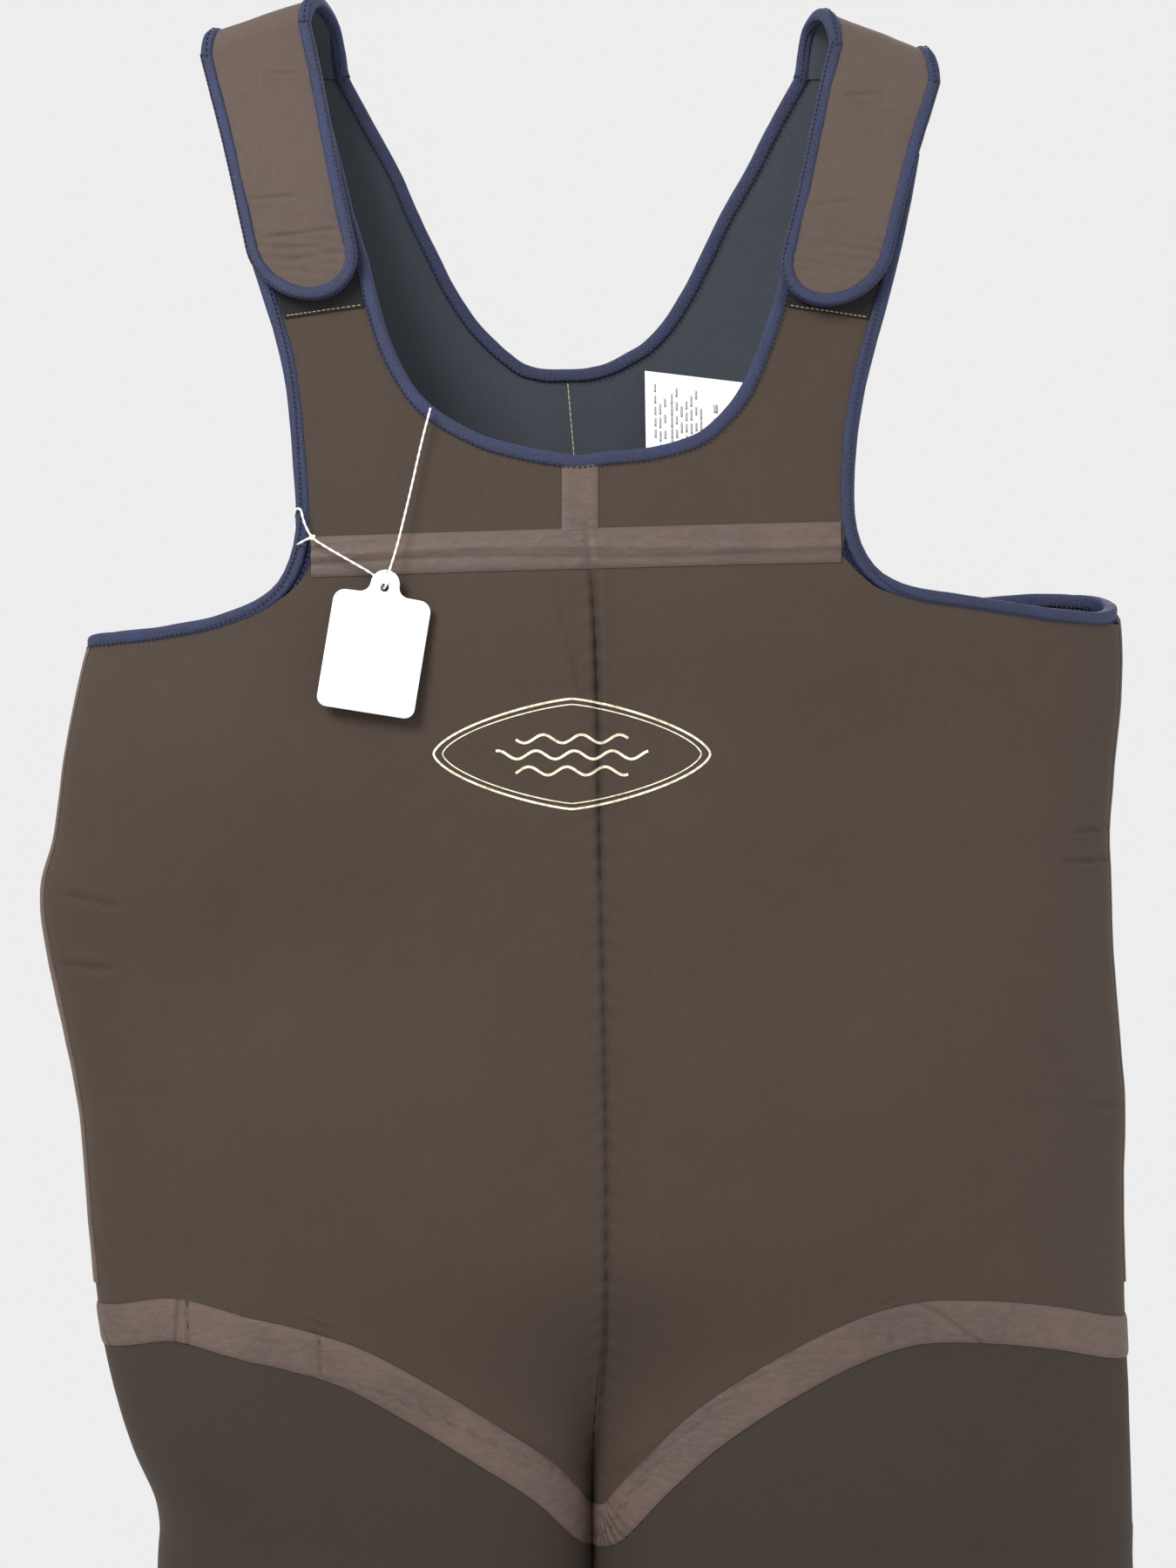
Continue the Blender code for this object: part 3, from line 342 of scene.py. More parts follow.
def drape(p, n):
    """How far the cloth stands out of its plain shape at points p with outward normals n."""
    x, z = p[..., 0], p[..., 2]
    front = smooth(-n[..., 1] * 1.6 - .1)
    back = smooth(n[..., 1] * 1.6 - .1)
    body = smooth((-.235 - z) / .05)
    out = body * (.0016 * grain(p, (.11, .20, .13), 3) + .0008 * grain(p, (.045, .1, .06), 5))
    out = out + .00022 * grain(p, (.012, .03, .014), 8)
    for place, size, tall in SWELLS:
        out = out + front * bump(x, z, place, size, tall)
    for start, end, wide, deep in LINES:
        out = out + front * crease(x, z, start, end, wide, deep)
    off = x - look(CENTRE, z)
    seam = body * smooth((z + .775) / .02)
    wave = grain(np.stack([off * 0, p[..., 1] * 0, z], -1), (1, 1, .0075), 11)
    lean = np.sin((z * 1.0 + np.abs(off) * .7) / .0105 * math.tau + 3 * grain(p, (.3, .3, .05), 4))
    near = np.exp(-(off / .0018) ** 2)
    side_near = np.exp(-(np.abs(off) / .0085) ** 1.6)
    out = out + front * seam * (-.0019 * near + side_near * (.0006 + .00045 * lean + .0004 * wave))
    out = out + back * body * .0006 * side_near
    # soft folds: under the seat, behind the knees, round the ankles
    fold = np.sin((z + .25 * off * off * 4) / .030 * math.tau + 2.2 * grain(p, (.06, .09, .12), 21))
    knee = np.exp(-((z - Z_KNEE) / .065) ** 2)
    ankle = np.exp(-((z + 1.425) / .035) ** 2)
    seat = np.exp(-((z + .800) / .050) ** 2)
    out = out + fold * (.0026 * knee * back + .0007 * knee * front + .0012 * seat * back)
    tight = np.sin(z / .0165 * math.tau + 2.5 * grain(p, (.05, .05, .2), 31))
    out = out + .0017 * ankle * tight
    legs = smooth((-.80 - z) / .08) * smooth((z + 1.47) / .05)
    return out + legs * .0016 * grain(p, (.05, .08, .16), 17)


def skin(shape, a, b, off=0, hint=None):
    """Points of the mapped surface shape(a, b), draped and lifted by off along the normal."""
    a, b = np.broadcast_arrays(np.asarray(a, float), np.asarray(b, float))
    p = shape(a, b)
    step = 1e-3
    da = shape(np.minimum(a + step, 1), b) - shape(np.maximum(a - step, 0), b)
    db = shape(a, b + step) - shape(a, b - step)
    n = np.cross(da, db)
    size = np.linalg.norm(n, axis=-1, keepdims=True)
    n = n / np.maximum(size, 1e-12)
    if hint is not None:
        n = n * np.where((n * hint(p)).sum(-1, keepdims=True) < 0, -1, 1)
    shift = n * drape(p, n)[..., None]
    away = np.abs(p[..., 0] - look(CENTRE, p[..., 2]))
    shift[..., 0] = shift[..., 0] * np.where(p[..., 2] > Z_CROTCH, smooth(away / .006), 1)
    return p + shift + n * np.asarray(off)[..., None], n


def leg_hint(side):
    """Rough outward direction round the middle of the half section or the leg."""
    def way(p):
        z = p[..., 2]
        part = smooth((Z_FORK - z) / (Z_FORK - Z_CROTCH))
        cx, cy, wide, deep = leg_row(side, np.minimum(z, Z_CROTCH))
        flat = np.stack([side * .1 + 0 * z, np.where(p[..., 1] < 0, -1., 1.), 0 * z], -1)
        ring = np.stack([(p[..., 0] - cx) / wide, (p[..., 1] - cy) / deep, 0 * z], -1)
        return flat + (ring - flat) * part[..., None]
    return way


def faces_out(face):
    """Outward direction of the front (-1) or the back (1), for skin()."""
    return lambda p: np.broadcast_to(np.array([0., face, 0.]), p.shape)


# ------------------------------------------------------------------ meshes
pieces = bpy.data.collections.new("chest_waders_looks")
bpy.context.scene.collection.children.link(pieces)


def add(name, verts, faces, materials, picks=None, sharp=None, smooth_faces=True):
    """A mesh object from arrays; picks holds each face's material slot."""
    mesh = bpy.data.meshes.new(name)
    mesh.from_pydata(np.asarray(verts).tolist(), [], [list(map(int, f)) for f in faces])
    for mat in materials:
        mesh.materials.append(mat)
    if picks is not None:
        mesh.polygons.foreach_set("material_index", np.asarray(picks, np.int32))
    mesh.polygons.foreach_set("use_smooth", np.full(len(mesh.polygons), smooth_faces))
    if sharp is not None:
        ends = np.empty(len(mesh.edges) * 2, np.int32)
        mesh.edges.foreach_get("vertices", ends)
        ends = sharp[ends.reshape(-1, 2)]
        marks = (ends[:, 0] > 0) & (ends[:, 0] == ends[:, 1])
        flags = mesh.attributes.new("sharp_edge", "BOOLEAN", "EDGE")
        flags.data.foreach_set("value", marks)
    mesh.update()
    obj = bpy.data.objects.new(name, mesh)
    pieces.objects.link(obj)
    return obj


def grid_faces(rows, cols, wrap=False, start=0):
    """Quads of a grid of points; wrap joins its last column to its first."""
    r, c = np.meshgrid(np.arange(rows - 1), np.arange(cols if wrap else cols - 1), indexing="ij")
    right = (c + 1) % cols
    quad = np.stack([r * cols + c, r * cols + right, (r + 1) * cols + right, (r + 1) * cols + c], -1)
    return quad.reshape(-1, 4) + start


def slab(name, outer, inner, materials, wrap=False, shade=None):
    """A wall with an outer and an inner face (rows, cols, 3) and a rim; slots outer, inner, rim."""
    rows, cols = outer.shape[:2]
    count = rows * cols
    top = grid_faces(rows, cols, wrap)
    low = grid_faces(rows, cols, wrap, count)[:, ::-1]
    index = np.arange(count).reshape(rows, cols)
    loops = [(index[0], False), (index[-1], True)]
    if not wrap:
        loops += [(index[:, 0], True), (index[:, -1], False)]
    rim = []
    for line, turned in loops:
        a, b = line, np.roll(line, -1)
        if not wrap:
            a, b = line[:-1], line[1:]
        if turned:
            a, b = b, a
        rim.append(np.stack([b, a, a + count, b + count], -1))
    rim = np.concatenate(rim)
    picks = np.concatenate([np.zeros(len(top)), np.ones(len(low)), np.full(len(rim), 2)])
    border = np.zeros(2 * count, int)
    for line, turned in loops:
        border[line] = 1
        border[line + count] = 2
    verts = np.concatenate([outer.reshape(-1, 3), inner.reshape(-1, 3)])
    slots = [materials[min(k, len(materials) - 1)] for k in range(3)]
    faces = np.concatenate([top, low, rim])
    mid_r, mid_c = rows // 2, cols // 2
    outward = np.cross(outer[mid_r, mid_c + 1] - outer[mid_r, mid_c],
                       outer[mid_r + 1, mid_c] - outer[mid_r, mid_c])
    if np.dot(outward, outer[mid_r, mid_c] - inner[mid_r, mid_c]) < 0:
        faces = faces[:, ::-1]
    obj = add(name, verts, faces, slots, picks, border)
    # the shade attribute carries painted shade to the materials
    if shade is not None:
        layer = obj.data.attributes.new("shade", "FLOAT", "POINT")
        layer.data.foreach_set("value", np.concatenate([shade.ravel(), shade.ravel()]))
    return obj


def frames(path, normals):
    """Unit tangent, sideways and normal directions along a path."""
    lead = np.gradient(path, axis=0)
    lead /= np.linalg.norm(lead, axis=1, keepdims=True)
    across = np.cross(lead, normals)
    across /= np.linalg.norm(across, axis=1, keepdims=True)
    return lead, across, np.cross(across, lead)


def sweep(name, path, normals, outline, materials, swell=None):
    """A solid swept along a path; outline holds (across, up) points anticlockwise."""
    _, across, up = frames(path, normals)
    outline = np.array(outline)
    scale = np.ones(len(path)) if swell is None else swell
    ring = (across[:, None] * outline[None, :, :1] + up[:, None] * outline[None, :, 1:])
    verts = path[:, None] + ring * scale[:, None, None]
    rows, cols = verts.shape[:2]
    faces = [list(f) for f in grid_faces(rows, cols, True)]
    faces.append(list(range(cols))[::-1])
    faces.append([(rows - 1) * cols + k for k in range(cols)])
    obj = add(name, verts.reshape(-1, 3), faces, materials)
    flip_if_inside_out(obj)
    return obj


def flip_if_inside_out(obj):
    """Turns the faces of a closed mesh outward, by the sign of its volume."""
    mesh = obj.data
    mesh.calc_loop_triangles()
    co = np.empty(len(mesh.vertices) * 3)
    mesh.vertices.foreach_get("co", co)
    co = co.reshape(-1, 3)
    tri = np.empty(len(mesh.loop_triangles) * 3, np.int32)
    mesh.loop_triangles.foreach_get("vertices", tri)
    a, b, c = (co[tri.reshape(-1, 3)[:, k]] for k in range(3))
    if np.einsum("ij,ij->", a, np.cross(b, c)) < 0:
        mesh.flip_normals()


def stitches(name, spots, ways, ups, long, thick, material):
    """Short rounded threads lying at spots, pointing along ways."""
    turns = np.arange(6) * math.tau / 6
    rows = [(-.5, .25), (-.36, .85), (0, 1), (.36, .85), (.5, .25)]
    sides = np.cross(ways, ups)
    verts = []
    for place, fat in rows:
        ring = (np.cos(turns)[None, :, None] * sides[:, None] + np.sin(turns)[None, :, None] * .8
                * ups[:, None]) * thick / 2 * fat
        verts.append(spots[:, None] + ways[:, None] * place * long + ring)
    verts = np.stack(verts, 1)
    one = [list(f) for f in grid_faces(len(rows), 6, True)]
    one += [[5, 4, 3, 2, 1, 0], [24, 25, 26, 27, 28, 29]]
    faces = [[v + 30 * k for v in f] for k in range(len(spots)) for f in one]
    obj = add(name, verts.reshape(-1, 3), faces, [material])
    flip_if_inside_out(obj)
    return obj


def stitched(name, line, ups, count, long, thick, material):
    """Stitches spread evenly along a line on the cloth."""
    both = along(np.concatenate([line, ups], 1), count)
    lead, _, up = frames(both[:, :3], both[:, 3:])
    return stitches(name, both[:, :3], lead, up, long, thick, material)


# ------------------------------------------------------------------ materials
class Nodes:
    """Short names for the nodes of one material."""

    def __init__(self, name):
        self.mat = bpy.data.materials.new(name)
        self.mat.use_nodes = True
        self.tree = self.mat.node_tree
        self.shader = self.tree.nodes["Principled BSDF"]
        self.place = self.tree.nodes.new("ShaderNodeTexCoord").outputs["Object"]

    def stretched(self, scale):
        node = self.tree.nodes.new("ShaderNodeMapping")
        node.inputs["Scale"].default_value = scale
        self.tree.links.new(self.place, node.inputs["Vector"])
        return node.outputs["Vector"]

    def noise(self, scale, detail=2, rough=.5, place=None, low=.3, high=.7):
        """Noise read between low and high, as 0 to 1."""
        node = self.tree.nodes.new("ShaderNodeTexNoise")
        node.inputs["Scale"].default_value = scale
        node.inputs["Detail"].default_value = detail
        node.inputs["Roughness"].default_value = rough
        self.tree.links.new(place or self.place, node.inputs["Vector"])
        return self.span(node.outputs["Fac"], low, high)

    def span(self, value, low, high, to_low=0, to_high=1):
        node = self.tree.nodes.new("ShaderNodeMapRange")
        node.inputs["From Min"].default_value = low
        node.inputs["From Max"].default_value = high
        node.inputs["To Min"].default_value = to_low
        node.inputs["To Max"].default_value = to_high
        self.tree.links.new(value, node.inputs["Value"])
        return node.outputs["Result"]

    def wave(self, scale, axis, bend=0):
        node = self.tree.nodes.new("ShaderNodeTexWave")
        node.bands_direction = axis
        node.inputs["Scale"].default_value = scale
        node.inputs["Distortion"].default_value = bend
        node.inputs["Detail Scale"].default_value = 2
        self.tree.links.new(self.place, node.inputs["Vector"])
        return node.outputs["Fac"]

    def attribute(self, name):
        node = self.tree.nodes.new("ShaderNodeAttribute")
        node.attribute_name = name
        return node.outputs["Fac"]

    def maths(self, kind, a, b):
        node = self.tree.nodes.new("ShaderNodeMath")
        node.operation = kind
        for slot, value in zip(node.inputs, (a, b)):
            if isinstance(value, (int, float)):
                slot.default_value = value
            else:
                self.tree.links.new(value, slot)
        return node.outputs[0]

    def mix(self, share, a, b, kind="MIX"):
        node = self.tree.nodes.new("ShaderNodeMix")
        node.data_type = "RGBA"
        node.blend_type = kind
        for slot, value in ((node.inputs[0], share), (node.inputs[6], a), (node.inputs[7], b)):
            if isinstance(value, tuple):
                slot.default_value = (*value, 1)
            elif isinstance(value, (int, float)):
                slot.default_value = value
            else:
                self.tree.links.new(value, slot)
        return node.outputs[2]

    def colour(self, value):
        self.tree.links.new(value, self.shader.inputs["Base Color"])

    def rough(self, value):
        if isinstance(value, (int, float)):
            self.shader.inputs["Roughness"].default_value = value
        else:
            self.tree.links.new(value, self.shader.inputs["Roughness"])

    def bump(self, height, deep, strength=1.0):
        node = self.tree.nodes.new("ShaderNodeBump")
        node.inputs["Strength"].default_value = strength
        node.inputs["Distance"].default_value = deep
        self.tree.links.new(height, node.inputs["Height"])
        self.tree.links.new(node.outputs["Normal"], self.shader.inputs["Normal"])

    def fuzz(self, weight, rough, tint):
        self.shader.inputs["Sheen Weight"].default_value = weight
        self.shader.inputs["Sheen Roughness"].default_value = rough
        self.shader.inputs["Sheen Tint"].default_value = (*tint, 1)


def linear(r, g, b):
    """Scene colour of an 8-bit display colour."""
    return tuple(((v / 255 + .055) / 1.055) ** 2.4 if v > 10 else v / 255 / 12.92 for v in (r, g, b))


def jersey(name, colour, light, dark, painted_shade=.35):
    """Nylon jersey on neoprene: fine wales, speckle, broad fading, and painted shade darkening seams and
    sides.
    """
    n = Nodes(name)
    broad = n.noise(4, 2, .5, low=.30, high=.70)
    patch = n.noise(38, 3, .6, low=.35, high=.7)
    speck = n.noise(1500, 2, .7, low=.32, high=.72)
    thread = n.noise(1, 2, .6, place=n.stretched((900, 900, 240)), low=.3, high=.75)
    tone = n.mix(n.maths("MULTIPLY", broad, .12), colour, dark)
    tone = n.mix(n.maths("MULTIPLY", patch, .06), tone, light)
    tone = n.mix(n.maths("MULTIPLY", speck, .34), tone, light)
    tone = n.mix(n.maths("MULTIPLY", thread, .22), tone, dark)
    # painted shade: the mesh's shade attribute darkens the colour where shade falls, in seam grooves,
    # along patch edges and towards the sides
    tone = n.mix(n.maths("MULTIPLY", n.attribute("shade"), painted_shade), tone, dark)
    n.colour(tone)
    n.rough(n.span(speck, 0, 1, .72, .92))
    wales = n.wave(330, "X", .6)
    courses = n.wave(250, "Z", .6)
    height = n.maths("ADD", n.maths("MULTIPLY", wales, .35), n.maths("MULTIPLY", courses, .25))
    height = n.maths("ADD", height, n.maths("MULTIPLY", speck, .55))
    n.bump(height, .00022, .8)
    n.fuzz(.10, .45, tuple(min(1, c * 6) for c in light))
    n.shader.inputs["Specular IOR Level"].default_value = .3
    return n.mat


def foam(name):
    """Cut edge of the closed-cell foam."""
    n = Nodes(name)
    cells = n.noise(1300, 2, .6)
    n.colour(n.mix(cells, (.008, .008, .009), (.020, .020, .021)))
    n.rough(.85)
    n.bump(cells, .0002)
    return n.mat


def seam_tape(name, colour, light, dark):
    """Glued seam tape: smoother than the jersey, blotched and finely crinkled."""
    n = Nodes(name)
    blotch = n.noise(26, 4, .6, low=.34, high=.68)
    crinkle = n.noise(1, 3, .65, place=n.stretched((160, 160, 420)), low=.3, high=.72)
    speck = n.noise(1700, 2, .7)
    tone = n.mix(blotch, dark, colour)
    tone = n.mix(n.maths("MULTIPLY", crinkle, .35), tone, light)
    tone = n.mix(n.maths("MULTIPLY", speck, .25), tone, light)
    # painted shade: the shade attribute darkens the tape along its edges, its groove and its pressed
    # lines
    n.colour(n.mix(n.maths("MULTIPLY", n.attribute("shade"), .55), tone, dark))
    n.rough(n.span(blotch, 0, 1, .55, .78))
    n.bump(n.maths("ADD", n.maths("MULTIPLY", crinkle, .8), n.maths("MULTIPLY", speck, .35)), .00035, .7)
    n.fuzz(.10, .5, tuple(min(1, c * 5) for c in light))
    return n.mat


def ribbon(name, colour, light, dark):
    """Folded knit binding: fine ribs, a little gloss on the bends."""
    n = Nodes(name)
    rib = n.noise(1, 2, .5, place=n.stretched((1300, 1300, 1300)), low=.32, high=.7)
    fade = n.noise(60, 3, .6, low=.35, high=.7)
    tone = n.mix(fade, dark, colour)
    n.colour(n.mix(n.maths("MULTIPLY", rib, .5), tone, light))
    n.rough(n.span(rib, 0, 1, .55, .8))
    n.bump(rib, .00035, .8)
    n.fuzz(.12, .4, tuple(min(1, c * 3) for c in light))
    return n.mat


def plain(name, colour, other, rough, scale, deep, sheen=0.0):
    """One finish with a fine mottle."""
    n = Nodes(name)
    mottle = n.noise(scale, 3, .6)
    n.colour(n.mix(mottle, colour, other))
    n.rough(rough)
    n.bump(mottle, deep)
    if sheen:
        n.fuzz(sheen, .4, (1, 1, 1))
    return n.mat


BROWN = jersey("brown_jersey", linear(52, 42, 34), linear(80, 68, 58), linear(36, 29, 23))
# painted shade: the legs' jersey is the body's brown made darker, for the shade on the lower garment
LEG_BROWN_SHADED = jersey("leg_jersey_shaded", linear(41, 33, 27), linear(66, 55, 47), linear(29, 23, 19))
FLAP_BROWN = jersey("flap_jersey", linear(72, 60, 54), linear(98, 86, 80), linear(50, 41, 36))
LINING = jersey("slate_lining", linear(48, 53, 60), linear(66, 72, 81), linear(32, 36, 42), .8)
FOAM = foam("foam_edge")
TAPE = seam_tape("seam_tape", linear(76, 60, 52), linear(98, 82, 74), linear(52, 40, 33))
BINDING = ribbon("blue_binding", linear(12, 23, 58), linear(30, 46, 94), linear(7, 13, 36))
THREAD = plain("navy_thread", linear(8, 11, 24), linear(18, 24, 44), .7, 900, .0001)
BROWN_THREAD = plain("brown_thread", linear(58, 46, 38), linear(84, 70, 60), .6, 900, .0001)
TAN_THREAD = plain("tan_thread", linear(150, 130, 108), linear(176, 156, 132), .7, 900, .0001)
PALE_THREAD = plain("pale_thread", linear(150, 146, 122), linear(180, 176, 150), .6, 900, .0001)
LOOPS = plain("black_loops", linear(4, 4, 5), linear(15, 14, 15), .95, 1400, .0010, .03)
CARD = plain("white_card", linear(240, 240, 240), linear(233, 233, 232), .38, 320, .00004)
SATIN = plain("white_satin", linear(246, 246, 246), linear(236, 237, 238), .45, 700, .0001)
PRINT_GREY = plain("grey_print", linear(150, 152, 156), linear(178, 180, 183), .6, 800, .00005)
STRING = plain("white_string", linear(236, 234, 228), linear(208, 205, 198), .8, 1500, .0002, .3)
PATCH = jersey("dark_patch", linear(56, 47, 41), linear(84, 74, 66), linear(38, 31, 27))


def printed():
    """Cream print, rubbed thin in places so that the brown shows through."""
    n = Nodes("cream_print")
    rubbed = n.noise(420, 4, .7, low=.50, high=.60)
    tone = n.mix(n.noise(90, 2), linear(226, 220, 200), linear(198, 190, 164))
    n.colour(n.mix(n.maths("MULTIPLY", rubbed, .45), tone, linear(120, 106, 92)))
    n.rough(.6)
    n.bump(rubbed, .0001)
    return n.mat


PRINT = printed()


def keep(obj, body, *nodes, slot=None):
    """A piece rides on a body and stands for CAD nodes."""
    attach(obj, body)
    if nodes:
        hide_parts(*nodes)
    return obj


# ------------------------------------------------------------------ camera
VIEW_TALL = .8136
DISTANCE = 1.35
data = bpy.data.cameras.new("camera")
data.lens = 36 * DISTANCE / VIEW_TALL
data.clip_end = 30
camera = bpy.data.objects.new("camera", data)
camera.location = (.009, -DISTANCE, -.3755)
camera.rotation_euler = (math.pi / 2, 0, 0)
bpy.context.scene.collection.objects.link(camera)
bpy.context.scene.camera = camera

# ------------------------------------------------------------------ string of the ticket
STRING_THICK = .0012


def twisted(name, path, radius=STRING_THICK / 2, pitch=.0042, sides=14):
    """Two-strand string along a path."""
    lead = np.gradient(path, axis=0)
    lead /= np.linalg.norm(lead, axis=1, keepdims=True)
    across = np.cross(lead, (.3, -1, .2))
    across /= np.linalg.norm(across, axis=1, keepdims=True)
    up = np.cross(across, lead)
    run = np.concatenate([[0], np.cumsum(np.linalg.norm(np.diff(path, axis=0), axis=1))])
    turn = np.arange(sides) * math.tau / sides
    size = radius * (.88 + .16 * np.cos(2 * turn[None] - (run / pitch * math.tau)[:, None]))
    ring = across[:, None] * np.cos(turn)[None, :, None] + up[:, None] * np.sin(turn)[None, :, None]
    verts = path[:, None] + ring * size[..., None]
    faces = [list(f) for f in grid_faces(len(path), sides, True)]
    faces.append(list(range(sides))[::-1])
    faces.append([(len(path) - 1) * sides + k for k in range(sides)])
    obj = add(name, verts.reshape(-1, 3), faces, [STRING])
    flip_if_inside_out(obj)
    return obj


route = flowing(TAG_STRING, 320)
string = keep(twisted("ticket_string", route), "garment", "tag_string")
KNOT = TAG_STRING[KNOT_AT]
ROUND_THE_EDGE = [TAG_STRING[-1], (-.1372, -.0430, -.2372), (-.1388, -.0380, -.2400),
                  (-.1384, -.0345, -.2470), (-.1382, -.0390, -.2535), (-.1366, -.0430, -.2549),
                  (-.1330, -.0470, -.2535), KNOT]
loop = twisted("ticket_string_loop", flowing(ROUND_THE_EDGE, 120))
turn = np.linspace(0, math.tau, 90)
trefoil = np.stack([np.sin(turn) + 2 * np.sin(2 * turn), -np.sin(3 * turn),
                    np.cos(turn) - 2 * np.cos(2 * turn)], -1)
knot = twisted("ticket_string_knot", np.array(KNOT) + trefoil * .00042, .00052)
for piece in (loop, knot):
    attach(piece, "garment")

# ------------------------------------------------------------------ garment panels
def shares(wide=.262):
    """Places across one half: close together at the centre seam and round the side."""
    runs = [np.arange(0, .012, .0010), np.arange(.012, .030, .0020), np.arange(.030, .228, .0036)]
    near = np.concatenate(runs) / wide
    u = np.arcsin(near ** (POWER / 2)) / math.pi
    return np.concatenate([u, np.linspace(u[-1], .5, 18)[1:]])


U_FINE = shares()
U_RING = np.concatenate([np.linspace(0, .04, 6), np.linspace(.05, .45, 38), np.linspace(.46, .54, 14),
                         np.linspace(.55, .95, 38), np.linspace(.96, 1, 6)[:-1]])


def panel(name, shape, a, b, hint, materials, thick=NEOPRENE, wrap=False, shade=None, lift=0.0):
    """A neoprene panel over the mapped surface, rows run along b."""
    a, b = np.meshgrid(a, b)
    outer, n = skin(shape, a, b, lift, hint)
    tint = shade(outer, a, b) if shade else np.zeros(outer.shape[:2])
    return slab(name, outer, outer - n * thick, materials, wrap, tint)


def seam_shade(p, a, b):
    """Painted shade: darker in the groove of the centre seam and towards the sides, where the body turns
    from the light.
    """
    off = np.abs(p[..., 0] - look(CENTRE, p[..., 2]))
    line = np.exp(-(off / .0022) ** 2) * .9 + np.exp(-(off / .014) ** 2) * .25
    return line * smooth((-.255 - p[..., 2]) / .01) + .25 * smooth((off - .20) / .08)


BIB_STEPS = 150
YOKE_STEPS = 149
UNDER = .0030


def moved(line, by):
    """A line of (x, z) moved sideways in its own plane."""
    lead = np.gradient(line, axis=0)
    lead /= np.linalg.norm(lead, axis=1)[:, None]
    return line + np.stack([lead[:, 1], -lead[:, 0]], 1) * np.asarray(by)[..., None]


def between(inner, outer, a, at_inner, at_outer, face):
    """Place at share a from an inner line to an outer one, each read at a row number."""
    p = [np.interp(at_inner, range(len(inner)), inner[:, k]) for k in (0, 1)]
    q = [np.interp(at_outer, range(len(outer)), outer[:, k]) for k in (0, 1)]
    return wall(p[0] + (q[0] - p[0]) * a, p[1] + (q[1] - p[1]) * a, face)


necks, arms = {}, {}
for tag, side in SIDES.items():
    hint = leg_hint(side)

    def front_map(u, v, side=side):
        high, low = scye_height(side, u), hip_height(side, u)
        high = high + UNDER * smooth((Z_CHEST - .0005 - high) / .004)
        return half(side, u, high + (low - high) * v)

    def back_map(u, v, side=side):
        low = hip_height(side, u)
        return half(side, u, Z_YOKE + (low - Z_YOKE) * v)

    rows = np.linspace(0, 1, 200)
    front = panel("front_body_" + tag + "_neoprene", front_map, U_FINE, rows, hint,
                  [BROWN, LINING, FOAM], shade=seam_shade)
    keep(front, "garment", "front_body_" + tag)
    rear = panel("back_body_" + tag + "_neoprene", back_map, 1 - U_FINE[::-1], rows[::2], hint,
                 [BROWN, LINING, FOAM], shade=seam_shade)
    keep(rear, "garment", "back_body_" + tag)

    neck = flowing(NECK_L if side < 0 else NECK_R, BIB_STEPS)
    table = list(ARM_L if side < 0 else ARM_R)
    table[0] = (float(look(CENTRE, Z_CHEST)), Z_CHEST)
    corner = round(BIB_STEPS * .4)
    arm = np.concatenate([along(table[:5], corner)[:-1], flowing(table[4:], BIB_STEPS - corner)])
    necks[tag], arms[tag] = neck, arm[corner:]
    neck = moved(neck, -side * UNDER)
    arm = moved(arm, side * UNDER * smooth((np.arange(BIB_STEPS + 1) - corner) / 4))

    def bib_map(a, t, neck=neck, arm=arm):
        at = np.asarray(t, float) * BIB_STEPS
        return between(neck, arm, a, at, at, -1)

    bib = panel("front_bib_" + tag + "_neoprene", bib_map, np.linspace(0, 1, 26),
                np.linspace(0, 1, BIB_STEPS + 1), faces_out(-1), [BROWN, LINING, FOAM])
    keep(bib, "garment", "front_bib_" + tag)

    low_neck = np.interp(PATCH_LOW[tag][0], neck[:, 1], np.arange(BIB_STEPS + 1))
    low_arm = np.interp(PATCH_LOW[tag][1], arm[corner:, 1], np.arange(corner, BIB_STEPS + 1))

    def patch_map(a, t, neck=neck, arm=arm, low=(low_neck, low_arm)):
        at = [start + (BIB_STEPS - 1 - start) * np.asarray(t, float) for start in low]
        return between(neck, arm, a, at[0], at[1], -1)

    loops = panel("loop_patch_" + tag + "_pile", patch_map, np.linspace(.05, .95, 20),
                  np.linspace(0, 1, 60), faces_out(-1), [LOOPS], thick=.0016, lift=.0010)
    keep(loops, "garment", "loop_patch_" + tag)
    a = np.linspace(.10, .90, 40)
    spots, ups = skin(patch_map, a, .012 + 0 * a, .0011, faces_out(-1))
    row = stitched("loop_stitches_" + tag, spots, ups, 15, .0018, .0005, TAN_THREAD)
    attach(row, "garment")

    # back yoke: from the armhole to the yoke seam, the middle of the back and the neckline
    low = half(side, np.linspace(.505, 1, 40), np.full(40, Z_YOKE))[:, [0, 2]]
    low[:, 1] += .0004
    back_neck = flowing(BACK_NECK_L if side < 0 else BACK_NECK_R, 65)
    inner_line = np.concatenate([along(low, 50)[:-1], along([low[-1], back_neck[0]], 34)[:-1],
                                 moved(back_neck, -side * UNDER)])
    outer_arm = np.array([(side * x, z) for x, z in (BACK_ARM_L if side < 0 else BACK_ARM_R)])
    outer_arm[0, 0] = float(look(edges(side), outer_arm[0, 1])) - side * .0004
    outer_line = np.concatenate([flowing(outer_arm[:ARM_CORNER + 1], 50)[:-1],
                                 flowing(outer_arm[ARM_CORNER:], 99)])
    outer_line = moved(outer_line, side * UNDER * smooth(np.arange(YOKE_STEPS + 1) / 2))

    def yoke_map(a, t, inner=inner_line, outer=outer_line):
        at = np.asarray(t, float) * YOKE_STEPS
        return between(inner, outer, a, at, at, 1)

    yoke = panel("back_yoke_" + tag + "_neoprene", yoke_map, np.linspace(0, 1, 40),
                 np.linspace(0, 1, YOKE_STEPS + 1), faces_out(1), [BROWN, LINING, FOAM])
    keep(yoke, "garment", "back_yoke_" + tag)

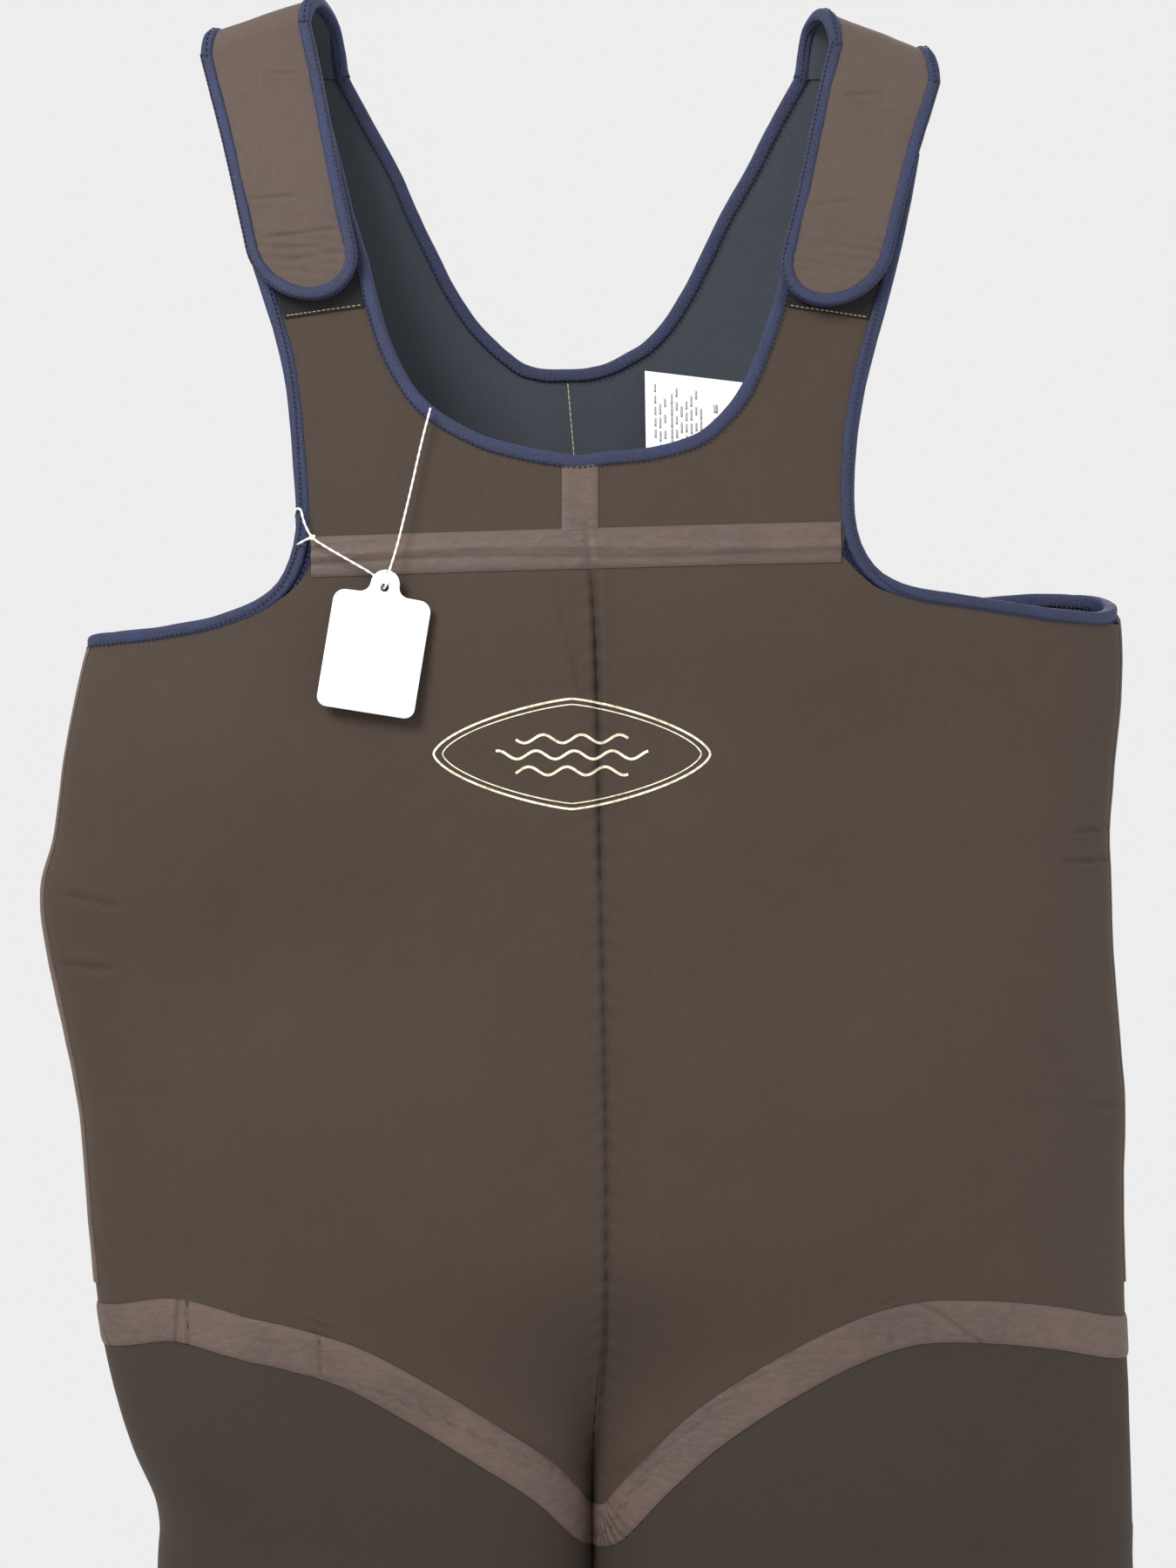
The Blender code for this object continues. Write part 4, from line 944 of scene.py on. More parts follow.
# ------------------------------------------------------------------ legs and feet
KNEE_INSET = .0060
for tag, side in SIDES.items():
    hint = leg_hint(side)

    def thigh_map(u, v, side=side):
        high = hip_height(side, u)
        return half(side, u, high + (Z_KNEE_TOP - high) * v)

    upper = panel("upper_leg_" + tag + "_neoprene", thigh_map, U_RING, np.linspace(0, 1, 120), hint,
                  [LEG_BROWN_SHADED, LINING, FOAM], wrap=True)
    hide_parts("hip_sleeve_" + tag, "thigh_" + tag)
    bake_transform(upper)

    def shin_map(u, z, side=side):
        return half(side, u, z)

    lower = panel("lower_leg_" + tag + "_neoprene", shin_map, U_RING,
                  np.linspace(Z_KNEE_TOP, Z_ANKLE_TOP, 130), hint, [LEG_BROWN_SHADED, LINING, FOAM], wrap=True)
    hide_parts("knee_sleeve_" + tag, "shin_" + tag)
    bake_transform(lower)

    def foot_map(u, v, side=side):
        """v from -1 at the ankle seam, 0 where the foot begins, to 1 at the toe."""
        v = np.asarray(v, float)
        sleeve = half(side, u, Z_ANKLE_END + (Z_ANKLE_TOP - Z_ANKLE_END) * np.maximum(0, -v))
        return np.where((v < 0)[..., None], sleeve, foot_point(side, u, np.maximum(0, v)))

    def foot_hint(p, side=side):
        """Away from the nearest place on the middle line of ankle and foot."""
        spine = along([(.004, -1.380)] + [(row[0], row[1]) for row in FOOT[:-3]], 60)
        gap = p[..., None, 1:] - spine
        near = spine[(gap ** 2).sum(-1).argmin(-1)]
        return np.concatenate([p[..., :1] - leg_row(side, Z_ANKLE_END)[0], p[..., 1:] - near], -1)

    toe = np.concatenate([np.linspace(-1, 0, 40)[:-1], np.linspace(0, .9985, 110)])
    boot = panel("bootie_" + tag + "_neoprene", foot_map, U_RING, toe, foot_hint,
                 [LEG_BROWN_SHADED, LINING, FOAM], wrap=True)
    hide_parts("ankle_sleeve_" + tag, "foot_" + tag)
    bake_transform(boot)

# ------------------------------------------------------------------ bound edges
BIND_WIDE = .0037
BIND_TALL = .0036


def rounded(wide, tall, corner, count=4):
    """Outline of a rounded bar, half sizes, anticlockwise."""
    places = []
    for k, (sx, sy) in enumerate(((1, 1), (-1, 1), (-1, -1), (1, -1))):
        for j in range(count + 1):
            turn = math.pi / 2 * (k + j / count)
            places.append((sx * (wide - corner) + corner * math.cos(turn),
                           sy * (tall - corner) + corner * math.sin(turn)))
    return places


BIND_SHAPE = rounded(BIND_WIDE, BIND_TALL, .0021)


def bound(name, path, normals, seed=0, wave=.00016, size=1.0):
    """Binding folded over a cut edge, slightly uneven in place and size."""
    path = path + normals * (wave * grain(path, (.009, .009, .009), seed))[:, None]
    swell = size * (1 + .035 * grain(path, (.006, .006, .006), seed + 3))
    return sweep(name, path, normals, BIND_SHAPE, [BINDING], swell)


def stitch_row(name, path, normals, sideways, lift, gap=.0026, thick=.0010, long=.0018):
    """Stitches along a line moved sideways and lifted off both faces of a panel edge."""
    count = max(4, round(np.linalg.norm(np.diff(path, axis=0), axis=1).sum() / gap))
    spots = along(path, count)
    ups = along(normals, count)
    ups /= np.linalg.norm(ups, axis=1, keepdims=True)
    lead, across, ups = frames(spots, ups)
    spots = spots + across * sideways
    both = np.concatenate([spots + ups * lift, spots - ups * lift])
    obj = stitches(name, both, np.concatenate([lead, lead]), np.concatenate([ups, ups]), long, thick,
                   THREAD)
    return obj


def on_wall(line, face, deep=NEOPRENE / 2):
    """Middle of the wall under a line of (x, z), and the outward normals."""
    p = wall(line[:, 0], line[:, 1], face)
    n = wall_normal(p)
    return p + n * (drape(p, n) - deep)[:, None], n


front_neck = np.concatenate([necks["L"][::-1], necks["R"][1:]])
path, ups = on_wall(moved(along(front_neck, 300), -EDGE), -1)
keep(bound("neck_binding_front_tape", path, ups, 1), "garment", "neck_binding_front")
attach(stitch_row("neck_stitches_front", path, ups, .0026, .0040), "garment")
back_neck = np.concatenate([flowing(BACK_NECK_L, 150)[::-1], flowing(BACK_NECK_R, 150)[1:]])
path, ups = on_wall(moved(back_neck, -EDGE), 1)
keep(bound("neck_binding_back_tape", path, ups, 2), "garment", "neck_binding_back")
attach(stitch_row("neck_stitches_back", path, ups, -.0026, .0040), "garment")

for tag, side in SIDES.items():
    # armhole: down the tab, under the arm, round the side seam and up the back to the strap
    low = SCYE_L if side < 0 else SCYE_R
    down = np.concatenate([arms[tag][::-1][:-2], [(side * x, z) for x, z in low[1:-1]]])
    corner_z = low[-1][1]
    reach = abs(float(look(edges(side), corner_z)))
    down = flowing([p for p in along(down, 60) if abs(p[0]) < reach - .012], 150)
    up = np.array([(side * x, z) for x, z in (BACK_ARM_L if side < 0 else BACK_ARM_R)[1:]])
    up = flowing([p for p in along(up, 60) if abs(p[0]) < reach - .012], 150)
    front_path, front_ups = on_wall(moved(down, -side * EDGE), -1)
    back_path, back_ups = on_wall(moved(up, side * EDGE), 1)
    turn = np.linspace(0, 1, 26)[1:-1]
    first, last = front_path[-1], back_path[0]
    level = first[2] + (last[2] - first[2]) * smooth(turn)
    mid = look(CENTRE, level)
    wide = np.abs(look(edges(side), level) - mid) - NEOPRENE / 2
    share = np.minimum(1, np.abs(first[0] - mid[0]) / wide[0])
    begin = math.asin(share ** (POWER / 2)) if share < 1 else math.pi / 2
    share = np.minimum(1, np.abs(last[0] - mid[-1]) / wide[-1])
    end = math.pi - math.asin(share ** (POWER / 2))
    angle = begin + (end - begin) * turn
    deep = look(DEPTH, level) - NEOPRENE / 2
    corner = np.stack([mid + side * wide * np.abs(np.sin(angle)) ** (2 / POWER),
                       -deep * spow(np.cos(angle), 2 / POWER), level], -1)
    route = np.concatenate([front_path, corner, back_path])
    corner_n = wall_normal(corner)
    ups = np.concatenate([front_ups, corner_n, back_ups])
    fine = along(np.concatenate([route, ups], 1), 420)
    path, ups = fine[:, :3], fine[:, 3:]
    for _ in range(4):
        path[1:-1] = (path[:-2] + path[1:-1] * 2 + path[2:]) / 4
        ups[1:-1] = (ups[:-2] + ups[1:-1] * 2 + ups[2:]) / 4
    ups = ups / np.linalg.norm(ups, axis=1, keepdims=True)
    keep(bound("arm_binding_" + tag + "_tape", path, ups, 4 + side), "garment",
         "arm_binding_front_" + tag, "arm_binding_back_" + tag)
    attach(stitch_row("arm_stitches_" + tag, path, ups, side * .0026, .0040),
            "garment")

# ------------------------------------------------------------------ seam tapes
def strip(name, shape, across, length, hint, thick=.0011, ridge=None, material=None, shade=None):
    """Tape glued on the cloth: shape(a, t) with a across it and t along it."""
    a, t = np.meshgrid(np.linspace(0, 1, across), np.linspace(0, 1, length))
    edge = 1 - np.abs(2 * a - 1) ** 8
    lift = .0004 + (thick - .0004) * edge
    if ridge:
        lift = lift + ridge(a, t)
    outer, n = skin(shape, a, t, lift, hint)
    under = outer - n * (lift + .0008)[..., None]
    # the tint paints shade along both edges of the tape, where it steps down to the cloth
    tint = shade(outer, a, t) if shade else .6 * np.exp(-((1 - np.abs(2 * a - 1)) / .10) ** 2)
    return slab(name, outer, under, [material or TAPE], False, tint)


def cross_lines(spots, wide=.010):
    """Pressed lines across a tape at the given places along it."""
    def add_up(a, t):
        return sum(-.0006 * np.exp(-((t - place + (a - .5) * lean) / wide) ** 2)
                   for place, lean in spots)
    return add_up


def chest_shape(a, t):
    x = -.1300 + .2660 * t
    return wall(x, -.2615 + .0075 * t - .0103 + .0206 * a, -1)


def chest_ridge(a, t):
    """Height of the ridge and of the groove beside it, which run along the chest tape."""
    wave = .00025 * np.sin(t * 31 + 2 * np.sin(t * 9))
    ridge = .0009 * np.exp(-((a - .50 - .10 * np.sin(t * 5)) / .10) ** 2)
    groove = .0005 * np.exp(-((a - .30 - .06 * np.sin(t * 7)) / .05) ** 2)
    return ridge - groove + wave * np.exp(-((a - .5) / .2) ** 2)


# painted shade: darker in the groove beside the ridge, along both edges and over the lower half below
# the ridge
def chest_shade(p, a, t):
    return .75 * np.exp(-((a - .33 - .08 * np.sin(t * 6)) / .07) ** 2) \
        + .6 * np.exp(-((1 - np.abs(2 * a - 1)) / .10) ** 2) + .35 * smooth((.42 - a) / .2)


keep(strip("chest_seam_tape", chest_shape, 22, 260, faces_out(-1), ridge=chest_ridge, shade=chest_shade),
     "garment", "chest_tape")
keep(strip("centre_bib_tape", lambda a, t: wall(-.0042 + .0184 * a, -.2150 - .0400 * t, -1), 16, 36,
           faces_out(-1), .0009), "garment", "centre_tape")
keep(strip("back_centre_tape", lambda a, t: wall(look(CENTRE, -.168 - .46 * t) - .0103 + .0206 * a,
                                                 -.168 - .46 * t, 1), 10, 180, faces_out(1)),
     "garment", "back_seam_tape")

SEAM_TOP = {"L": (-.3050, -.3060), "R": (-.2925, -.2850)}
HIP_LINES = {"L": [(.26, .25), (.60, 0), (.90, -.1)], "R": [(.43, .1), (.10, -.3), (.13, -.3)]}
for tag, side in SIDES.items():
    hint = leg_hint(side)

    def hip_shape(a, t, side=side, face=-1):
        """A place square across the hip seam, by its share a of the tape's width."""
        u = (.012 + .488 * t) if face < 0 else (.988 - .488 * t)
        step = 1e-3
        z = hip_height(side, u)
        run = half(side, u + step, hip_height(side, u + step)) \
            - half(side, u - step, hip_height(side, u - step))
        du = (half(side, u + step, z) - half(side, u - step, z)) / (2 * step)
        dz = (half(side, u, z + step) - half(side, u, z - step)) / (2 * step)
        over = np.cross(np.cross(du, dz), run)
        over = over * np.sign(over[..., 2:]) / np.linalg.norm(over, axis=-1, keepdims=True)
        over = over * (TAPE_WIDE * (a - .5))[..., None]
        uu, zz, uz = (du * du).sum(-1), (dz * dz).sum(-1), (du * dz).sum(-1)
        ou, oz = (over * du).sum(-1), (over * dz).sum(-1)
        bottom = uu * zz - uz * uz
        return half(side, np.clip(u + (ou * zz - oz * uz) / bottom, .0005, .9995),
                    z + (oz * uu - ou * uz) / bottom)

    def ribs(a, t, side=side):
        lines = cross_lines(HIP_LINES["L" if side < 0 else "R"], .006)(a, t)
        near = smooth((.16 - t) / .06) if side > 0 else 0 * t
        return lines + near * .00045 * np.sin(t * 500 + 3 * a)

    # painted shade: darker in the pressed cross lines, along the ribs near the crotch and along both
    # edges
    def rib_shade(p, a, t, side=side):
        lines = -cross_lines(HIP_LINES["L" if side < 0 else "R"], .005)(a, t) / .0006
        rib = .35 * smooth((.16 - t) / .06) * (1 + np.sin(t * 500 + 3 * a)) / 2 if side > 0 else 0 * t
        return lines * 1.2 + rib + .6 * np.exp(-((1 - np.abs(2 * a - 1)) / .10) ** 2)

    front_tape = strip("hip_tape_front_" + tag + "_cloth", hip_shape, 16, 320, hint, ridge=ribs,
                       shade=rib_shade)
    keep(front_tape, "garment", "hip_tape_front_" + tag)

    def hip_back(a, t, hip_shape=hip_shape):
        return hip_shape(a, t, face=1)

    keep(strip("hip_tape_back_" + tag + "_cloth", hip_back, 10, 160, hint), "garment",
         "hip_tape_back_" + tag)

    def side_shape(a, t, side=side, tag=tag):
        """Over the butted side seam, from under the armhole binding to the hip seam."""
        lean = .450 if side < 0 else .470
        high = SEAM_TOP[tag][0] + (SEAM_TOP[tag][1] - SEAM_TOP[tag][0]) * a
        return half(side, lean + (.541 - lean) * a, high + (-.632 - high) * t)

    keep(strip("side_seam_tape_" + tag, side_shape, 14, 150, hint), "garment", "side_tape_" + tag)

    def yoke_seam(a, t, side=side):
        u = .508 + .480 * t
        return half(side, u, Z_YOKE + .0010 - .0200 * (a - .5))

    keep(strip("yoke_seam_tape_" + tag, yoke_seam, 10, 120, hint), "garment", "yoke_tape_" + tag)

    for name, high, low, body in (("thigh_tape_", -.800, -1.049, "upper_leg_"),
                                  ("shin_tape_", -1.051, -1.394, "lower_leg_")):
        def inseam(a, t, side=side, high=high, low=low):
            return half(side, (1 + .052 * (a - .5)) % 1, high + (low - high) * t)

        piece = strip(name + tag + "_cloth", inseam, 10, 90, hint)
        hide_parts(name + tag)
        if body == "upper_leg_":
            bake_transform(piece)
        else:
            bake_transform(piece)

    # patches: the knee's is stitched round, the sole's is glued
    def knee_shape(a, t, side=side):
        tall = Z_KNEE_END - Z_KNEE_TOP + 2 * KNEE_INSET
        return half(side, .070 + .360 * a, Z_KNEE_TOP - KNEE_INSET + tall * t)

    knee = strip("knee_patch_" + tag + "_cloth", knee_shape, 46, 60, hint, .0030, material=PATCH)
    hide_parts("knee_patch_" + tag)
    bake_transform(knee)
    ring_a = np.concatenate([np.linspace(.04, .96, 60), np.full(40, .96), np.linspace(.96, .04, 60),
                             np.full(40, .04)])
    ring_t = np.concatenate([np.full(60, .05), np.linspace(.05, .95, 40), np.full(60, .95),
                             np.linspace(.95, .05, 40)])
    spots, ups = skin(knee_shape, ring_a, ring_t, .0031, hint)
    row = stitched("knee_stitches_" + tag, spots, ups, 190, .0022, .0008, BROWN_THREAD)
    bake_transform(row)

    def sole_shape(a, t, side=side):
        return foot_point(side, .56 + .38 * a, .27 + .55 * t)

    def sole_hint(p):
        return np.stack([0 * p[..., 0], 0 * p[..., 0], -1 + 0 * p[..., 0]], -1)

    sole = strip("sole_patch_" + tag + "_cloth", sole_shape, 40, 90, sole_hint, .0022, material=PATCH)
    keep(sole, "bootie_" + tag, "sole_patch_" + tag)

    # ring of tape over the ankle seam
    def ankle_ring(a, t, side=side):
        return half(side, t * .9999 % 1, Z_ANKLE_END + .0100 + .0180 * a)

    ankle = strip("ankle_tape_" + tag, ankle_ring, 10, 130, hint, .0010)
    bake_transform(ankle)

# ------------------------------------------------------------------ shoulder straps and flaps
CREASES = {"L": [((-.1540, -.0134), (-.1400, -.0130), .0008, .0010),
                 ((-.1620, -.0790), (-.1390, -.0775), .0012, .0010),
                 ((-.1560, -.0992), (-.1186, -.0950), .0012, .0013),
                 ((-.1530, -.1049), (-.1230, -.1036), .0010, .0010),
                 ((-.1470, -.1115), (-.1155, -.1071), .0012, .0012)],
           "R": [((.1390, -.0255), (.1590, -.0235), .0010, .0013),
                 ((.1450, -.0800), (.1200, -.0840), .0014, .0006),
                 ((.1300, -.1050), (.1150, -.1030), .0014, .0006)]}
SPARE = .0030
for tag, side in SIDES.items():
    top_x, top_z = FLAP_TOP[tag]
    end_x, end_z = FLAP_END[tag]
    yoke_x = (BACK_NECK_L if side < 0 else BACK_NECK_R)[-1][0] / 2 \
        + side * (BACK_ARM_L if side < 0 else BACK_ARM_R)[-1][0] / 2
    yoke_z = -.0080
    yoke_half = abs(yoke_x - (BACK_NECK_L if side < 0 else BACK_NECK_R)[-1][0])
    front_y = float(wall(top_x, 0, -1)[1]) - FLAP_LIFT
    back_y = float(wall(yoke_x, 0, 1)[1])
    ring, core_y = (back_y - front_y) / 2, (back_y + front_y) / 2
    long = math.dist((top_x, top_z), (end_x, end_z))

    def flap_at(p, q, side=side, tag=tag, top=(top_x, top_z), end=(end_x, end_z), long=long):
        """Flap surface at p across it (outward from the neck) and q down it, in metres."""
        t = np.asarray(q, float) / long
        x = top[0] + (end[0] - top[0]) * t + side * p
        z = top[1] + (end[1] - top[1]) * t
        z = z + CREST[tag] * (abs(top[0]) - np.abs(x)) * (1 - smooth(t * 1.6))
        return wall(x, z, -1) - np.array([0, FLAP_LIFT, 0])

    def strap_at(p, s, side=side, tag=tag, top=(top_x, top_z), yoke=(yoke_x, yoke_z), ring=ring,
                 core_y=core_y, yoke_half=yoke_half, flap_at=flap_at):
        """Strap surface at p across and s from 0 at the yoke to 1 at the flap."""
        s = np.asarray(s, float)
        share = smooth(s)
        wide = 1 + (yoke_half / FLAP_HALF - 1) * (1 - np.minimum(1, s * 1.5))

        def bare(p, s, share, wide):
            x = yoke[0] + (top[0] - yoke[0]) * share + p * wide * side
            turn = math.pi * np.maximum(0, (s - .12) / .88)
            z = yoke[1] + .0010 + (top[1] - yoke[1]) * share + ring * np.sin(turn)
            z = z + CREST[tag] * (abs(top[0]) - np.abs(x)) * smooth(s * 3)
            return np.stack(np.broadcast_arrays(x, core_y + ring * np.cos(turn), z), -1)

        last = bare(p, 1.0 + 0 * s, 1.0, 1.0)
        pull = smooth((s - .55) / .45)[..., None]
        return bare(p, s, share, wide) + (flap_at(p, 0 * s) - last) * pull

    def strap_hint(p, core_y=core_y):
        return np.stack([0 * p[..., 0], p[..., 1] - core_y, np.maximum(0, p[..., 2] + .005) * 1.4], -1)

    def rough(p, n, tag=tag):
        """Soft waves and the pressed creases of the flap."""
        x, z = p[..., 0], p[..., 2]
        out = .0006 * grain(p, (.022, .05, .022), 41) + .00025 * grain(p, (.006, .02, .006), 42)
        for start, end, wide, deep in CREASES[tag]:
            out = out + crease(x, z, start, end, wide, deep)
        fold = np.sin((z + .15 * x) / .0062 * math.tau + 2 * grain(p, (.02, .05, .02), 44))
        near = np.exp(-((z - FLAP_END[tag][1] - .018) / .013) ** 2)
        return out + .00030 * fold * near

    def sheet_of(shape, a, b, hint, thick, rough=rough):
        """Outer and inner points of a flat sheet on shape(a, b)."""
        step = 1e-4
        p = shape(a, b)
        over = shape(a + step, b) - shape(a - step, b)
        down = shape(a, b + step * 10) - shape(a, b - step * 10)
        n = np.cross(over, down)
        n = n / np.maximum(1e-12, np.linalg.norm(n, axis=-1, keepdims=True))
        n = n * np.where((n * hint(p)).sum(-1, keepdims=True) < 0, -1, 1)
        p = p + n * rough(p, n)[..., None]
        return p, p - n * thick

    p, s = np.meshgrid(np.linspace(-1, 1, 22) * (FLAP_HALF + SPARE * .8), np.linspace(0, 1, 90))
    outer, inner = sheet_of(strap_at, p, s, strap_hint, NEOPRENE * .9)
    strap = slab("strap_" + tag + "_neoprene", outer, inner, [FLAP_BROWN, LINING, FOAM])
    keep(strap, "garment", "strap_" + tag)

    wide, full = FLAP_HALF + SPARE * .8, long + SPARE * .8
    turn = np.linspace(0, math.pi / 2 * .97, 26)
    straight = np.linspace(0, full - wide, 120)[:-1]
    q_rows = np.concatenate([straight, full - wide + wide * np.sin(turn)])
    spans = np.concatenate([np.full(len(straight), wide), wide * np.cos(turn)])
    share = np.linspace(-1, 1, 26)
    p, q = share[None] * spans[:, None], np.repeat(q_rows[:, None], 26, 1)
    outer, inner = sheet_of(flap_at, p, q, faces_out(-1), FLAP_THICK)
    flap = slab("flap_" + tag + "_neoprene", outer, inner, [FLAP_BROWN, LINING, FOAM])
    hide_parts("flap_" + tag)
    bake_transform(flap)

    p, q = np.meshgrid(np.linspace(-.0155, .0155, 14), np.linspace(long * .55, long * .91, 30))
    outer = flap_at(p, q) + np.array([0, FLAP_THICK + .0001, 0])
    hooks = slab("hook_patch_" + tag + "_hooks", outer, outer + np.array([0, .0012, 0]), [LOOPS])
    keep(hooks, "flap_end_" + tag, "hook_patch_" + tag)

    # binding down one side of the flap, round its tip and up the other side
    out = FLAP_HALF + EDGE
    bend = np.linspace(-math.pi / 2, math.pi / 2, 60)
    down = np.linspace(0, long - FLAP_HALF, 130)[:-1]
    p = np.concatenate([np.full(len(down), -out), out * np.sin(bend), np.full(len(down), out)])
    q = np.concatenate([down, long - FLAP_HALF + out * np.cos(bend), down[::-1]])
    line = flap_at(p, q) + np.array([0, FLAP_THICK / 2, 0])
    ups = wall_normal(line - np.array([0, FLAP_THICK / 2 - FLAP_LIFT, 0]))
    both = along(np.concatenate([line, ups], 1), 300)
    tape = bound("flap_binding_" + tag + "_tape", both[:, :3], both[:, 3:], 7, size=.86)
    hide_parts("flap_binding_" + tag)
    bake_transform(tape)
    row = stitch_row("flap_stitches_" + tag, both[:, :3], both[:, 3:], side * .0024, .0034)
    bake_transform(row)

    # binding along both edges of the strap, from the yoke over the crest to the flap
    for end, way in (("in", -1), ("out", 1)):
        s = np.linspace(0, 1, 80)
        line = strap_at(way * out + 0 * s, s)
        step = strap_at(way * (out + 1e-4) + 0 * s, s) - line
        lead = np.gradient(line, axis=0)
        up = np.cross(lead, step)
        up /= np.linalg.norm(up, axis=1, keepdims=True)
        up = up * np.where((up * strap_hint(line)).sum(1, keepdims=True) < 0, -1, 1)
        line = line - up * FLAP_THICK / 2
        edge = bound("strap_binding_" + end + "_" + tag, line, up, 9, size=1 - .14 * s)
        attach(edge, "garment")
        row = stitch_row("strap_stitches_" + end + "_" + tag, line, up, 0, .0037)
        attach(row, "garment")

# ------------------------------------------------------------------ label, ticket, print and seam lines
def label_shape(a, t):
    return wall(.0392 + .0520 * a + .0010 * t, -.1555 - .0062 * a - .0600 * t, 1)


def label_lift(a, t):
    """The label hangs clear of the lining, more at its foot, with a soft wave."""
    sag = .0022 * smooth((t - .1) / .9) * (1 - .5 * a)
    return -NEOPRENE - .0014 - sag - .0006 * np.sin(5 * a + 2 * t)


a, t = np.meshgrid(np.linspace(0, 1, 26), np.linspace(0, 1, 30))
outer, n = skin(label_shape, a, t, label_lift(a, t), faces_out(1))
label = slab("care_label_satin", outer, outer - n * .0004, [SATIN])
keep(label, "garment", "care_label")
# grey bars in place of the words
bars = []
for k in range(11):
    place = .10 + .050 * k + (.02 if k > 2 else 0) + (.10 if k == 10 else 0)
    start, stop = .12 + .05 * (k * 7 % 4), .86 - .07 * (k * 5 % 4)
    if k == 0:
        start, stop = .10, .60
    cuts = np.arange(start, stop, .10 + .02 * (k % 3))
    for low in cuts:
        bars.append((place, low, min(stop, low + .075 + .02 * (k % 2)), .010 if k < 10 else .022))
verts, faces = [], []
for place, low, high, wide in bars:
    a = np.array([[place - wide, place + wide]] * 6)
    t = np.linspace(low, high, 6)[:, None] + 0 * a
    p, n = skin(label_shape, a, t, label_lift(a, t) - .00052, faces_out(1))
    faces += [f + len(verts) * 12 for f in grid_faces(6, 2)]
    verts.append(p.reshape(-1, 3))
lines = add("care_label_bars", np.concatenate(verts), faces, [PRINT_GREY])
thick = lines.modifiers.new("thick", "SOLIDIFY")
thick.thickness = .0001
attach(lines, "garment")

# pale seam down the middle of the back yoke, seen inside
z = np.linspace(-.1640, -.3380, 70)
line = wall(np.interp(z, (-.3400, -.1632), (float(look(CENTRE, Z_YOKE)), -.0017)), z, 1)
ups = wall_normal(line)
line = line + ups * (drape(line, ups) - NEOPRENE - .0002)[:, None]
pale = stitched("back_seam_stitches", line, ups, 58, .0029, .0006, PALE_THREAD)
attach(pale, "garment")

# swing ticket
TAG_WIDE, TAG_TALL, TAG_THICK = .0490, .0720, .0006
TAG_ROLL, TAG_PITCH = math.radians(-9), math.radians(-3)


def ticket_outline():
    """Outline about the hole: a round crown, hollow shoulders, a body with round corners."""
    half_wide, low = TAG_WIDE / 2, .0090 - TAG_TALL
    places = [(0, .0090)]
    arcs = [((0, .0018), .0072, 90, 0, 10), ((.0125, .0018), -.0053, 0, 90, 8),
            ((half_wide - .0058, -.0095), .0058, 90, 0, 8),
            ((half_wide - .0050, low + .0050), .0050, 0, -90, 8)]
    for (cx, cy), radius, start, stop, count in arcs:
        for turn in np.radians(np.linspace(start, stop, count)):
            places.append((cx + radius * math.cos(turn), cy + radius * math.sin(turn)))
    return places + [(-x, y) for x, y in places[:0:-1]]


def ticket_mesh():
    """Flat ticket with its punched hole at the origin."""
    outline = ticket_outline()
    turns = [math.tau * k / 20 for k in range(20)]
    hole = [(.0022 * math.cos(turn), .0022 * math.sin(turn)) for turn in turns]
    inside = [(x, y) for x in np.arange(-.022, .0221, .004) for y in np.arange(-.060, .006, .004)
              if math.hypot(x, y) > .0035 and abs(x) < (TAG_WIDE / 2 - .002 if y < -.008 else .005)]
    points = [Vector(p) for p in outline + hole + inside]
    count = len(outline)
    border = [(k, (k + 1) % count) for k in range(count)]
    border += [(count + k, count + (k + 1) % 20) for k in range(20)]
    places, _, faces = delaunay_2d_cdt(points, border, [], 1, 1e-6)[:3]
    shape = np.array([tuple(p) for p in places])
    edge = np.array(outline)

    def within(x, y):
        x1, y1, x2, y2 = edge[:, 0], edge[:, 1], np.roll(edge[:, 0], -1), np.roll(edge[:, 1], -1)
        hits = (y1 > y) != (y2 > y)
        cross = x1 + (y - y1) / np.where(y2 == y1, 1e-12, y2 - y1) * (x2 - x1)
        return (hits & (x < cross)).sum() % 2 == 1

    kept = []
    for face in faces:
        x, y = shape[list(face)].mean(axis=0)
        if math.hypot(x, y) > .0021 and within(x, y):
            kept.append(face)
    return shape, kept


shape, faces = ticket_mesh()
x, y = shape[:, 0], shape[:, 1]
curl = .0009 * (y / .06) ** 2 - .0006 * (x / .0245) ** 2 * smooth(-y / .05) + .0003 * np.sin(y * 90)
rx = x * math.cos(TAG_ROLL) - y * math.sin(TAG_ROLL)
ry = x * math.sin(TAG_ROLL) + y * math.cos(TAG_ROLL)
tilt = math.radians(90) + TAG_PITCH
spots = np.stack([rx, ry * math.cos(tilt) - (curl + .0004), ry * math.sin(tilt)], -1) + TAG_HOLE
card = add("swing_ticket", spots, faces, [CARD])
thick = card.modifiers.new("thick", "SOLIDIFY")
thick.thickness = TAG_THICK
thick.offset = 0
keep(card, "ticket", "swing_tag")


# generic cream badge: a lozenge with three water lines
def printed_line(name, places, wide, closed=False):
    """A thin printed line over the cloth, through places (x, z)."""
    path = np.array(places, float)
    if closed:
        path = np.vstack([path, path[:1]])
    steps = max(8, round(np.linalg.norm(np.diff(path, axis=0), axis=1).sum() / .0012))
    path = along(path, steps)
    left, right = moved(path, -wide / 2), moved(path, wide / 2)
    a = np.linspace(0, 1, 3)[None, :, None]
    flat = left[:, None] + (right - left)[:, None] * a
    p = wall(flat[..., 0], flat[..., 1], -1)
    n = wall_normal(p)
    lift = drape(p, n)
    top = p + n * (lift + .00032)[..., None]
    obj = slab(name, top, p + n * (lift - .0004)[..., None], [PRINT])
    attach(obj, "garment")
    return obj


BADGE = (.0010, -.3605)
BADGE_HALF = (.0690, .0275)


